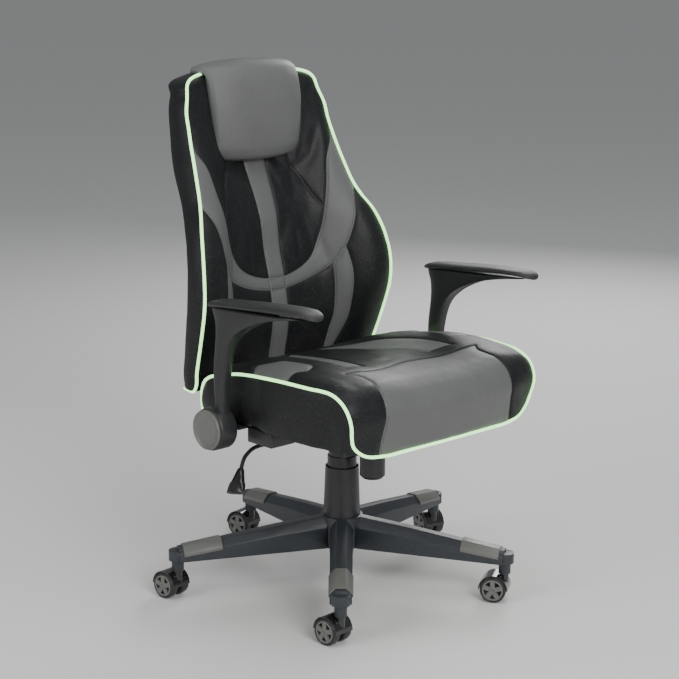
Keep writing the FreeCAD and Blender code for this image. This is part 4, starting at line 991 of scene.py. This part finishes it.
@dataclass
class BackCushion(Cushion):
    """The high back: a shell with forward bolsters, a grey spine and a grey yoke."""

    stations: tuple = (
        # height, front edge's depth, half width, hollow behind the edge, depth of the side
        (418, 178, 244, 26, 36), (450, 170, 248, 31, 42), (526, 145, 256, 43, 50), (607, 125, 261, 72, 56),
        (683, 133, 256, 83, 53), (753, 162, 237, 66, 55), (786, 185, 220, 55, 60), (858, 221, 203, 50, 72),
        (930, 251, 193, 44, 65), (1003, 274, 180, 37, 55), (1037, 288, 154, 30, 55), (1046, 298, 120, 24, 43))
    hollow: tuple = ((0, 1), (0.3, 1), (0.5, 0.8), (0.66, 0.38), (0.84, 0), (0.92, -0.03), (1, 0.0))
    core: float = 45.0
    columns: int = 105
    low: float = 418.0
    shoulder: float = 1036.0
    top: float = 1046.0
    pushed_out: float = 4.5

    def read(self, heights: np.ndarray) -> np.ndarray:
        """The stations' four values at each height."""
        table = np.array(self.stations, float)
        return hermite(table[:, 1:], table[:, 0], heights)

    def front(self, x: np.ndarray, z: np.ndarray) -> np.ndarray:
        """Depth of the front face at a width and height."""
        edge, half, recess, _ = self.read(z).T
        curve = np.array(self.hollow, float)
        share = hermite(curve[:, 1:], curve[:, 0], np.clip(np.abs(x) / half, 0, 1))[:, 0]
        return edge + recess * share

    def sheets(self) -> tuple[np.ndarray, np.ndarray, np.ndarray]:
        """Rows climb from the lower edge to the shoulders."""
        rounded = self.top - 9 * (1 - np.sin(np.linspace(0, math.pi / 2, 7)))
        heights = np.concatenate([np.arange(self.low, self.shoulder, 5.0), rounded])
        across = np.linspace(-1, 1, self.columns)
        edge, half, recess, depth = (v[:, None] for v in self.read(heights).T)
        x = half * across
        z = np.repeat(heights[:, None], self.columns, axis=1)
        y = self.front(x.ravel(), z.ravel()).reshape(x.shape)
        swell = recess + self.core - depth
        share = np.interp(np.abs(across), [0, 0.35, 0.55, 0.75, 0.9, 1], [1, 1, 0.82, 0.5, 0.2, 0])
        rear = edge + depth + swell * share + self.pushed_out * (1 - np.abs(across) ** 6)
        show = np.stack([x, y, z], axis=2)
        hidden = np.stack([x, rear, z], axis=2)
        chart = np.stack([x, z, np.ones_like(x)], axis=2)
        return show, hidden, chart

    def edge_line(self) -> np.ndarray:
        """The right-hand edge of the front face, from the bottom up."""
        heights = np.concatenate([np.arange(self.low + 2, self.shoulder, 8.0), [1040, 1044, self.top]])
        edge, half, _, _ = self.read(heights).T
        return np.stack([half, edge, heights], axis=1)


def back_panels() -> list:
    """The grey spine, the yoke, the lower side strips and the two slanted seams."""
    edge = pairs(smooth_line([(22, 405), (23, 454), (22, 584), (23, 723), (26, 814), (29, 870), (30, 960)],
                             60))
    other = tuple((-x, z) for x, z in edge)
    spine = Panel((edge, other), edge + other[::-1], False)
    yoke = band(((194, 915), (188, 900), (166, 866), (152, 813), (138, 760), (125, 705), (96, 650), (60, 630),
                 (31, 623), (0, 620)),
                ((214, 795), (197, 763), (184, 723), (169, 681), (142, 638), (97, 613), (60, 602), (27, 597),
                 (0, 595)), ((260, 800), (260, 920)))
    strip = band(((142, 636), (142, 579), (139, 524), (133, 490), (128, 440), (125, 405)),
                 ((166, 676), (175, 622), (175, 561), (170, 509), (160, 480), (145, 440), (138, 405)))
    seam = Panel((pairs(smooth_line([(89, 845), (103, 822), (118, 789), (137, 756)], 16)),))
    return [spine, yoke, strip, seam]


@dataclass
class SeatCushion(Cushion):
    """The seat: soft bolsters, a rolled front and a grey front panel."""

    rows: tuple = (
        # middle: depth, height; crest height; edge: depth, height, half width; place on the chart
        (-300, 374, 374, -297, 372, 168, -421), (-306, 382, 382, -292, 376, 206, -409),
        (-310, 396, 396, -288, 388, 234, -396), (-316, 422, 422, -288, 411, 249, -371),
        (-319, 450, 450, -293, 438, 256, -343), (-300, 482, 484, -289, 463, 260, -304),
        (-268, 499, 504, -276, 482, 262, -268), (-219, 506, 513, -243, 498, 264, -219),
        (-165, 507, 518, -190, 501, 274, -165), (-125, 506, 520, -135, 502, 279, -125),
        (-68, 501, 517, -68, 498, 275, -68), (-20, 495, 511, -20, 492, 265, -20),
        (30, 489, 504, 30, 486, 265, 30), (75, 482, 492, 75, 475, 270, 75),
        (110, 476, 482, 110, 462, 271, 110),
        (139, 469, 470, 137, 428, 260, 139), (166, 460, 455, 160, 420, 236, 166))
    columns: int = 111
    floor: float = 386.0

    def sheets(self) -> tuple[np.ndarray, np.ndarray, np.ndarray]:
        """Rows run from under the front roll over the top to the rear."""
        table = np.array(self.rows, float)
        place = table[:, 6]
        even = np.linspace(place[0], place[-1], 118)
        mid_y, mid_z, crest, edge_y, edge_z, half, chart_y = hermite(table, place, even).T[:, :, None]
        across = np.linspace(-1, 1, self.columns)[None, :]
        reach = np.abs(across)
        x = half * across
        knots = [0, 0.3, 0.6, 0.8, 0.93, 1]
        share = hermite(np.array([[1, 0, 0], [0.9, 0.1, 0], [0, 1, 0], [0, 0.92, 0.08], [0, 0.55, 0.45],
                                  [0, 0, 1]], float), np.array(knots, float), reach.ravel())
        z = mid_z * share[:, 0] + crest * share[:, 1] + edge_z * share[:, 2]
        bend = np.clip(reach, 0, 1) ** 2.2
        y = mid_y * (1 - bend) + edge_y * bend
        show = np.stack([x, y, z], axis=2)
        low_y = np.clip(y, -262, 164)
        front = np.clip((-225 - y) / 60, 0, 1)
        hidden = np.stack([x * 0.975, low_y, np.full_like(x, self.floor) - 10 * front], axis=2)
        chart = np.stack([x, np.repeat(chart_y, self.columns, axis=1), np.ones_like(x)], axis=2)
        return show, hidden, chart

    def edge_line(self) -> np.ndarray:
        """The upper edge of the right-hand bolster, from under the front to the rear."""
        table = np.array(self.rows, float)
        even = np.linspace(table[0, 6], table[-1, 6] - 26, 110)
        _, _, _, edge_y, edge_z, half, _ = hermite(table, table[:, 6], even).T
        return np.stack([half, edge_y, edge_z], axis=1)


def seat_panels() -> list:
    """The front panel, the two crescents and the patches on the bolsters."""
    side = pairs(smooth_line([(186, -421), (184, -397), (181, -371), (178, -338), (175, -303), (170, -267),
                              (165, -232), (167, -208), (182, -187)], 48))
    top = pairs(smooth_line([(182, -187), (140, -192), (95, -192), (45, -184), (0, -178), (-45, -184),
                             (-95, -192), (-140, -192), (-182, -187)], 60))
    flip = tuple((-x, y) for x, y in side)
    front = Panel((side, top, flip), side + top + flip[::-1] + ((-186, -440), (186, -440)), False)
    crescent = band(((34, 118), (52, 40), (62, -20), (82, -100), (92, -152)),
                    ((36, 122), (96, 70), (126, 10), (146, -90), (150, -160)))
    patch = band(((300, -122), (271, -121), (243, -117), (222, -127), (196, -118)),
                 ((300, -10), (257, -13), (232, 3), (219, -3), (196, -20)), ())
    return [front, crescent, patch]


@dataclass
class Headrest(Cushion):
    """The grey pad that hangs over the top of the back."""

    back: Optional[BackCushion] = None
    rows: tuple = (
        # middle: depth, height; edge: half width, depth, height
        (262, 865, 84, 268, 869), (247, 872, 98, 262, 875), (240, 886, 106, 258, 888),
        (235, 925, 112, 255, 925),
        (235, 960, 115, 255, 958), (240, 1001, 117, 258, 1001), (251, 1041, 117, 268, 1037),
        (268, 1064, 120, 282, 1054), (296, 1074, 127, 304, 1062), (318, 1073, 130, 320, 1060))
    columns: int = 61
    rest: float = 1040.0

    def sheets(self) -> tuple[np.ndarray, np.ndarray, np.ndarray]:
        """Rows climb the front and go over the top."""
        table = np.array(self.rows, float)
        run = np.concatenate([[0], np.cumsum(np.linalg.norm(np.diff(table[:, :2], axis=0), axis=1))])
        even = np.linspace(0, run[-1], 60)
        mid_y, mid_z, half, edge_y, edge_z = hermite(table, run, even).T[:, :, None]
        across = np.linspace(-1, 1, self.columns)[None, :]
        bend = np.abs(across) ** 3.0
        x = half * across
        y, z = mid_y * (1 - bend) + edge_y * bend, mid_z * (1 - bend) + edge_z * bend
        show = np.stack([x, y, z], axis=2)
        low = np.minimum(z, self.rest)
        behind = self.back.front(x.ravel(), low.ravel()).reshape(x.shape) - 1.0
        over = np.clip((z - self.rest) / 16, 0, 1)
        hidden = np.stack([x, np.maximum(behind, y + 6 * (1 - over)),
                           np.where(z > self.rest, self.rest + 5.5 * over, z)], axis=2)
        chart = np.stack([x, np.repeat(even[:, None], self.columns, axis=1), np.ones_like(x)], axis=2)
        return show, hidden, chart


# ---------------------------------------------------------------- light piping
@dataclass
class Piping:
    """Glowing welt along a cushion's edge."""

    name: str
    node: str
    lines: list
    radius: float = 3.2
    obj: Optional[bpy.types.Object] = None

    def build(self) -> None:
        """Sweeps every run and joins them into one piece."""
        counts = [max(20, int(line_length(line) / 6)) for line in self.lines]
        parts = [tube(smooth_line(line, count), self.radius) for line, count in zip(self.lines, counts)]
        self.obj = new_object(self.name, *joined(*parts))
        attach(self.obj, "seat")
        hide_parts(self.node)
        LOG.info("%s: %d runs", self.name, len(self.lines))

    def dress(self, finishes: dict) -> None:
        """Gives the welt its glow."""
        self.obj.data.materials.append(finishes["light_piping"])


# ---------------------------------------------------------------- arms
@dataclass
class Arm:
    """One flip-up arm: hub, post and slim pad."""

    side: str
    sign: int
    pieces: dict = field(default_factory=dict)
    centre: float = 302.0
    front: tuple = ((12, 384), (13, 410), (11, 440), (9, 470), (4, 500), (-4, 535), (-16, 564), (-38, 590),
                    (-72, 611), (-120, 625), (-175, 634), (-222, 640))
    rear: tuple = ((40, 366), (36, 405), (38, 440), (42, 475), (42, 510), (38, 545), (36, 575), (38, 600),
                   (44, 616), (46, 624), (47, 626), (47, 627.5))
    thick: tuple = (26, 26, 26, 26, 26, 27, 28, 31, 34, 37, 39, 40)

    def post(self) -> tuple[np.ndarray, list]:
        """Blade from the hub to the underside of the pad, with rounded sections."""
        front, rear = smooth_line(self.front, 44), smooth_line(self.rear, 44)
        thick = np.interp(np.linspace(0, 1, 44), np.linspace(0, 1, len(self.thick)), self.thick)
        turn = np.linspace(0, 2 * math.pi, 28, endpoint=False)
        rings = []
        for near, far, width in zip(front, rear, thick):
            middle, half = (near + far) / 2, (near - far) / 2
            c = np.sign(np.cos(turn)) * np.abs(np.cos(turn)) ** 0.62
            s = np.sign(np.sin(turn)) * np.abs(np.sin(turn)) ** 0.75
            plane = middle + c[:, None] * half
            rings.append(np.stack([self.sign * self.centre + s * width / 2, plane[:, 0], plane[:, 1]],
                                  axis=1))
        return loft(np.array(rings))

    def hub(self) -> tuple[np.ndarray, list]:
        """Round housing of the pivot with a bore for the bolt."""
        profile = [(284, 9), (284, 39), (286, 42), (289, 43), (320, 43), (324, 42), (326, 40.5), (326, 9)]
        return self.placed(revolve(profile, 64))

    def placed(self, shape: tuple[np.ndarray, list]) -> tuple[np.ndarray, list]:
        """Puts a turned shape at the arm's pivot."""
        verts, faces = shape
        return verts * [self.sign, 1, 1] + [0, 40, 383], faces

    def pad(self) -> tuple[np.ndarray, list]:
        """Slim pad with a drooping rounded nose."""
        stations = np.array([  # depth, underside, thickness, half width
            (50, 627.5, 3, 8), (46, 626.5, 9, 17), (36, 627, 13, 22), (15, 629.5, 14, 25),
            (-30, 633.5, 14, 28),
            (-90, 638.5, 14, 30), (-150, 643, 14, 30), (-200, 646, 13, 29), (-228, 646, 12, 26),
            (-243, 644, 9, 20), (-251, 642.5, 4, 9)], float)
        table = smooth_line(stations, 60)
        turn = np.linspace(0, 2 * math.pi, 32, endpoint=False)
        c = np.sign(np.cos(turn)) * np.abs(np.cos(turn)) ** 0.7
        s = np.sign(np.sin(turn)) * np.abs(np.sin(turn)) ** 0.8
        rings = [np.stack([self.sign * self.centre + c * half, np.full(32, y),
                           low + thick / 2 + s * thick / 2],
                          axis=1) for y, low, thick, half in table]
        return loft(np.array(rings))

    def cap(self) -> tuple[np.ndarray, list]:
        """Grey disc, slightly dished, inside a bright rim."""
        profile = [(326.2, 0), (326.2, 39.5), (329, 40), (331.6, 39.2), (332, 38), (331.2, 36.8), (330.2, 36),
                   (330.4, 20), (330.6, 0)]
        return self.placed(revolve(profile, 72))

    def build(self) -> None:
        """Makes the three pieces and fixes them to the arm."""
        for key, slot, shape in (("frame", "arm_nylon", joined(self.post(), self.hub())),
                                 ("pad", "arm_pad_skin", self.pad()),
                                 ("hub_cap", "grey_plastic", self.cap())):
            piece = new_object("arm_%s_%s_shell" % (key, self.side), *shape)
            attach(piece, "arm_" + self.side)
            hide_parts("arm_%s_%s" % (key, self.side))
            self.pieces[slot] = piece
        LOG.info("arm %s", self.side)

    def dress(self, finishes: dict) -> None:
        """Gives each piece its finish."""
        for slot, piece in self.pieces.items():
            piece.data.materials.append(finishes[slot])


# ---------------------------------------------------------------- casters
@dataclass
class Wheel:
    """One caster wheel with its five-spoked disc, built about X and then set on its axle."""

    place: str
    side: str
    radius: float = 27.0
    half: float = 10.0
    pieces: dict = field(default_factory=dict)

    def tread(self) -> tuple[np.ndarray, list]:
        """Nylon wheel, open at the disc's recess."""
        r, h = self.radius, self.half
        return revolve([(-h, 3.4), (-h, r - 3), (-h + 0.9, r - 1), (-h + 3, r), (h - 4, r), (h - 1.5, r - 1),
                        (h - 1, r - 2.5), (h - 1.6, r - 4.2), (h - 4.5, r - 4.6), (h - 4.5, 3.4)], 56)

    def spokes(self) -> bpy.types.Object:
        """Rim ring, hub boss and five spokes."""
        rim = revolve([(5.6, 18.3), (5.6, 22.2), (8.6, 22.2), (9.4, 21.4), (9.4, 19.2), (8.8, 18.3)], 56)
        boss = revolve([(5.6, 3.1), (5.6, 8.2), (8.9, 8.2), (9.8, 7.2), (9.9, 3.1)], 40)
        pin = revolve([(5.6, 0), (5.6, 3.1), (9.4, 3.1), (9.7, 2.2), (9.8, 0)], 24)
        obj = new_object("spoked_disc", *joined(rim, boss, pin))
        TREES["spoke"].apply(obj, {"Count": 5, "Inner": 0.0074, "Outer": 0.0190, "Inner Width": 0.0098,
                                   "Outer Width": 0.0094, "Low": 0.0056, "High": 0.0091})
        return obj

    def build(self) -> None:
        """Makes tread and disc and sets them on the axle."""
        name = "caster_%s_%s_wheel" % (self.place, self.side)
        node = frame["nodes"][name]
        joint = next(j for j in frame["joints"] if j["name"] == "caster_%s_%s_roll" % (self.place, self.side))
        low, high = (np.array(v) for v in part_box(name))
        middle = (low + high) / 2
        axle = Vector(joint["axis"]).normalized()
        stem = next(j for j in frame["joints"] if j["name"] == "caster_%s_swivel" % self.place)
        outward = axle if (Vector(middle) - Vector(stem["pos_m"])).dot(axle) > 0 else -axle
        up = Vector((0, 0, 1))
        place = Matrix.Translation(middle) @ Matrix((outward, up.cross(outward), up)).transposed().to_4x4()
        tread = new_object(name + "_tread", *self.tread())
        disc = self.spokes()
        disc.name = name + "_disc"
        for piece, slot in ((tread, "wheel_nylon"), (disc, "grey_plastic")):
            piece.data.transform(place)
            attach(piece, "caster_%s_%s_roll" % (self.place, self.side))
        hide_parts(node.name)
        self.pieces = {"wheel_nylon": tread, "grey_plastic": disc}

    def dress(self, finishes: dict) -> None:
        """Black tread, grey disc."""
        for slot, piece in self.pieces.items():
            piece.data.materials.clear()
            piece.data.materials.append(finishes[slot])


def spoke_tree() -> NodeTreeMaker:
    """The tree that sets spokes round the X axis between two radii."""
    maker = NodeTreeMaker("Spokes", [("Count", 5), ("Inner", 0.0074), ("Outer", 0.019),
                                     ("Inner Width", 0.0098),
                                     ("Outer Width", 0.0094), ("Low", 0.0056), ("High", 0.0091)])
    source = maker.source.outputs
    bar = maker.node("GeometryNodeMeshCube", values={"Size": (1, 1, 1), "Vertices X": 2, "Vertices Y": 3,
                                                     "Vertices Z": 6})
    spot = maker.node("GeometryNodeInputPosition")
    parts = maker.node("ShaderNodeSeparateXYZ", {"Vector": spot.outputs[0]})

    def between(share: bpy.types.NodeSocket, low: str, high: str) -> bpy.types.NodeSocket:
        """Reads a size between two named inputs."""
        node = maker.node("ShaderNodeMapRange", {"Value": share, "To Min": source[low],
                                                 "To Max": source[high]},
                          {"From Min": -0.5, "From Max": 0.5})
        return node.outputs["Result"]

    reach = between(parts.outputs["Z"], "Inner", "Outer")
    width = between(parts.outputs["Z"], "Inner Width", "Outer Width")
    depth = between(parts.outputs["X"], "Low", "High")
    across = maker.node("ShaderNodeMath", {0: parts.outputs["Y"], 1: width}, operation="MULTIPLY")
    place = maker.node("ShaderNodeCombineXYZ", {"X": depth, "Y": across.outputs[0], "Z": reach})
    shaped = maker.node("GeometryNodeSetPosition", {"Geometry": bar.outputs[0], "Position": place.outputs[0]})
    points = maker.node("GeometryNodePoints", {"Count": source["Count"]})
    index = maker.node("GeometryNodeInputIndex")
    step = maker.node("ShaderNodeMath", {1: source["Count"]}, {0: 2 * math.pi}, operation="DIVIDE")
    angle = maker.node("ShaderNodeMath", {0: index.outputs[0], 1: step.outputs[0]}, operation="MULTIPLY")
    turn = maker.node("ShaderNodeCombineXYZ", {"X": angle.outputs[0]})
    ring = maker.node("GeometryNodeInstanceOnPoints",
                      {"Points": points.outputs[0], "Instance": shaped.outputs[0],
                                                       "Rotation": turn.outputs[0]})
    both = maker.node("GeometryNodeJoinGeometry")
    maker.tree.links.new(ring.outputs[0], both.inputs[0])
    maker.tree.links.new(source["Geometry"], both.inputs[0])
    maker.close(both.outputs[0])
    return maker


# ---------------------------------------------------------------- moulded and turned parts
@dataclass
class SoftEdges:
    """A moulded part taken from the frame with its sharp edges rounded."""

    node: str
    body: str
    slot: str
    width: float = 1.2
    obj: Optional[bpy.types.Object] = None

    def build(self) -> None:
        """Copies the part, merges it, rounds its edges and stands in for it."""
        source = frame["nodes"][self.node]
        mesh = bpy.data.meshes.new_from_object(source)
        mesh.transform(source.matrix_world)
        obj = bpy.data.objects.new(self.node + "_moulding", mesh)
        bpy.context.scene.collection.objects.link(obj)
        work = bmesh.new()
        work.from_mesh(mesh)
        bmesh.ops.remove_doubles(work, verts=work.verts, dist=2e-5)
        bmesh.ops.dissolve_limit(work, angle_limit=math.radians(0.6), verts=work.verts, edges=work.edges)
        bmesh.ops.recalc_face_normals(work, faces=work.faces)
        work.to_mesh(mesh)
        work.free()
        edges = obj.modifiers.new("Edges", "BEVEL")
        edges.width = self.width * MM
        edges.segments = 2
        edges.limit_method = "ANGLE"
        edges.angle_limit = math.radians(28)
        plain_mesh(obj)
        obj.data.materials.clear()
        obj.data.shade_smooth()
        obj.data.set_sharp_from_angle(angle=math.radians(32))
        self.obj = obj
        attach(obj, self.body)
        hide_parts(self.node)
        LOG.info("%s rounded", self.node)

    def dress(self, finishes: dict) -> None:
        """Gives the part its finish."""
        self.obj.data.materials.append(finishes[self.slot])


@dataclass
class Paddle:
    """Glossy grip on the end of the lift lever."""

    start: tuple = (-298, -26, 309)
    end: tuple = (-338, -57, 281)
    obj: Optional[bpy.types.Object] = None

    def build(self) -> None:
        """Lofts a flared, flattened grip along the lever's outer run."""
        start, end = np.array(self.start, float), np.array(self.end, float)
        aim = (end - start) / np.linalg.norm(end - start)
        flat = np.cross(aim, [0, 0, 1.0])
        flat /= np.linalg.norm(flat)
        thin = np.cross(flat, aim)
        stations = smooth_line([(-0.05, 5, 5), (0.02, 7.5, 6.5), (0.2, 9.5, 6.5), (0.5, 13, 5.4),
                                (0.8, 17, 4.6),
                                (0.95, 17.5, 4), (1.03, 14, 3), (1.07, 6, 1.6)], 30)
        turn = np.linspace(0, 2 * math.pi, 24, endpoint=False)
        c = np.sign(np.cos(turn)) * np.abs(np.cos(turn)) ** 0.8
        s = np.sign(np.sin(turn)) * np.abs(np.sin(turn)) ** 0.8
        rings = [start + aim * np.linalg.norm(end - start) * part + c[:, None] * flat * wide
                 + s[:, None] * thin * deep for part, wide, deep in stations]
        self.obj = new_object("lever_grip", *loft(np.array(rings)))
        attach(self.obj, "lever")
        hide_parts("lever_paddle")

    def dress(self, finishes: dict) -> None:
        """Glossy black."""
        self.obj.data.materials.append(finishes["hood_gloss"])


@dataclass
class TensionSpring:
    """Coil spring of the tension bolt, wound at one fixed length."""

    coils: int = 6
    wire: float = 1.5
    obj: Optional[bpy.types.Object] = None

    def build(self) -> None:
        """Winds the wire between the knob's floor and the tray."""
        low, high = (np.array(v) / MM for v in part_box("tension_spring"))
        middle, radius = (low + high) / 2, (high - low)[0] / 2 - self.wire
        turn = np.linspace(0, 2 * math.pi * self.coils, 24 * self.coils + 1)
        rise = np.linspace(low[2] + self.wire, high[2] - self.wire, len(turn))
        line = np.stack([middle[0] + radius * np.cos(turn), middle[1] + radius * np.sin(turn), rise], axis=1)
        self.obj = new_object("tension_coil", *tube(line, self.wire, 10))
        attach(self.obj, "mechanism")
        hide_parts("tension_spring")
        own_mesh(self.obj)

    def dress(self, finishes: dict) -> None:
        """Dark spring steel."""
        self.obj.data.materials.append(finishes["spring_steel"])


# ---------------------------------------------------------------- studio
@dataclass
class Studio:
    """Pale floor, soft lights and the camera."""

    place: tuple = (-2.4390, -2.5435, 1.3298)
    target: tuple = (0.0, 0.0, 0.5102)
    roll: float = 0.421
    lens: float = 93.717
    shift: tuple = (-0.00507, 0.00733)

    def build(self) -> None:
        """Lays the floor and sets lights and camera."""
        mesh = bpy.data.meshes.new("floor")
        mesh.from_pydata([(-30, -30, 0), (30, -30, 0), (30, 30, 0), (-30, 30, 0)], [], [(0, 1, 2, 3)])
        floor = bpy.data.objects.new("floor", mesh)
        bpy.context.scene.collection.objects.link(floor)
        paper = bpy.data.materials.new("Pale floor")
        paper.use_nodes = True
        paper.node_tree.nodes["Principled BSDF"].inputs["Base Color"].default_value = (0.78, 0.78, 0.77, 1)
        paper.node_tree.nodes["Principled BSDF"].inputs["Roughness"].default_value = 0.8
        mesh.materials.append(paper)
        world = bpy.data.worlds.new("Studio")
        world.use_nodes = True
        world.node_tree.nodes["Background"].inputs["Color"].default_value = (0.93, 0.95, 0.97, 1)
        world.node_tree.nodes["Background"].inputs["Strength"].default_value = 0.28
        bpy.context.scene.world = world
        for name, where, power, width in (("key", (-1.2, -3.6, 2.4), 110, 2.2),
                                          ("side", (-3.8, 0.6, 1.9), 55, 2.0),
                                          ("top", (0.4, -0.6, 3.6), 42, 2.8),
                                          ("rim", (3.0, 1.6, 2.0), 45, 1.6)):
            data = bpy.data.lights.new(name, "AREA")
            data.energy, data.size, data.shape = power, width, "DISK"
            lamp = bpy.data.objects.new(name, data)
            lamp.location = where
            lamp.rotation_euler = (Vector((0, 0, 0.55)) - Vector(where)).to_track_quat("-Z", "Y").to_euler()
            bpy.context.scene.collection.objects.link(lamp)
        self.camera()

    def camera(self) -> None:
        """Sets the camera from its place, target and roll."""
        data = bpy.data.cameras.new("camera")
        data.lens, data.sensor_width = self.lens, 36.0
        data.shift_x, data.shift_y = self.shift
        eye = bpy.data.objects.new("camera", data)
        aim = (Vector(self.target) - Vector(self.place)).normalized()
        level = aim.cross(Vector((0, 0, 1))).normalized()
        upright = level.cross(aim)
        turn = math.radians(self.roll)
        right = level * math.cos(turn) + upright * math.sin(turn)
        up = right.cross(aim)
        eye.matrix_world = Matrix.Translation(self.place) @ Matrix((right, up, -aim)).transposed().to_4x4()
        bpy.context.scene.collection.objects.link(eye)
        bpy.context.scene.camera = eye


# ---------------------------------------------------------------- the chair
def mirrored(line: np.ndarray) -> np.ndarray:
    """The same line on the other side of the chair."""
    return line * [-1, 1, 1]


def piping_runs(back: BackCushion, seat: SeatCushion) -> tuple[list, list]:
    """The welt's lines along the back's two edges and round the seat.

    Args:
        back: The back cushion.
        seat: The seat cushion.
    Returns:
        The back's runs and the seat's runs.
    """
    edge = back.edge_line() + [0.8, -1.2, 0]
    foot = np.array([(edge[0, 0] - 2, 214, 419), (edge[0, 0] - 1, 196, 417), (edge[0, 0], 184, 417)])
    tuck = np.array([(117, 300, 1048.5), (108, 304, 1050), (92, 308, 1050)])
    rise = np.concatenate([foot, edge[1:-6:4], edge[-4:-3], tuck])
    low = seat.edge_line() + [0.8, 0, 0.6]
    half = low[::4]
    front = np.array([(x, -298.5 - 2.0 * (1 - (x / 168) ** 2), 373.0)
                      for x in (126, 84, 42, 0, -42, -84, -126)])
    drop = np.array([(256, 140, 392), (258, 140, 405)])
    ring = np.concatenate([drop, half[::-1], front, mirrored(half), mirrored(drop[::-1])])
    return [rise, mirrored(rise)], [ring]


def dress_frame(finishes: dict) -> None:
    """Gives every node that stays in sight its finish, by its slot.

    Args:
        finishes: Slot name to material.
    """
    for node in frame["nodes"].values():
        slot = node.data.materials[0].name.split(".")[0] if node.data.materials else "cover_plastic"
        finish = finishes.get(slot, finishes["cover_plastic"])
        for i in range(len(node.material_slots)):
            node.material_slots[i].material = finish
        if not node.material_slots:
            LOG.warning("%s has no slot", node.name)


def main() -> None:
    """Builds the sub-assemblies in order, dresses them and sets the studio."""
    logging.basicConfig(level=logging.INFO, format="%(name)s %(message)s")
    shelf = GroupShelf()
    finishes = {slot: finish.build(shelf) for slot, finish in FINISHES.items()}
    TREES["stitch"] = stitch_tree()
    TREES["spoke"] = spoke_tree()
    back = BackCushion("back_cover", "back_cushion", "black_leather", fill=0.8, cap=9.0, panels=back_panels())
    seat = SeatCushion("seat_cover", "seat_cushion", "black_leather", fill=0.8, cap=10.0,
                       panels=seat_panels())
    head = Headrest("headrest_cover", "headrest_pad", "grey_leather", fill=0.85, cap=6.0, back=back)
    runs = piping_runs(back, seat)
    pieces = [back, seat, head, Piping("back_welt", "back_light_piping", runs[0]),
              Piping("seat_welt", "seat_light_piping", runs[1]), Arm("left", 1), Arm("right", -1), Paddle(),
              TensionSpring(),
              SoftEdges("base_star", "base", "base_nylon"),
              SoftEdges("foot_covers", "base", "grey_plastic", 0.7),
              SoftEdges("light_controller", "seat", "cover_plastic", 4.0)]
    for place in ("front_right", "front_left", "left", "rear", "right"):
        pieces += [Wheel(place, "outer"), Wheel(place, "inner")]
    for piece in pieces:
        piece.build()
        piece.dress(finishes)
        LOG.info("built %s", type(piece).__name__)
    dress_frame(finishes)
    Studio().build()


if __name__ == "__main__":
    main()
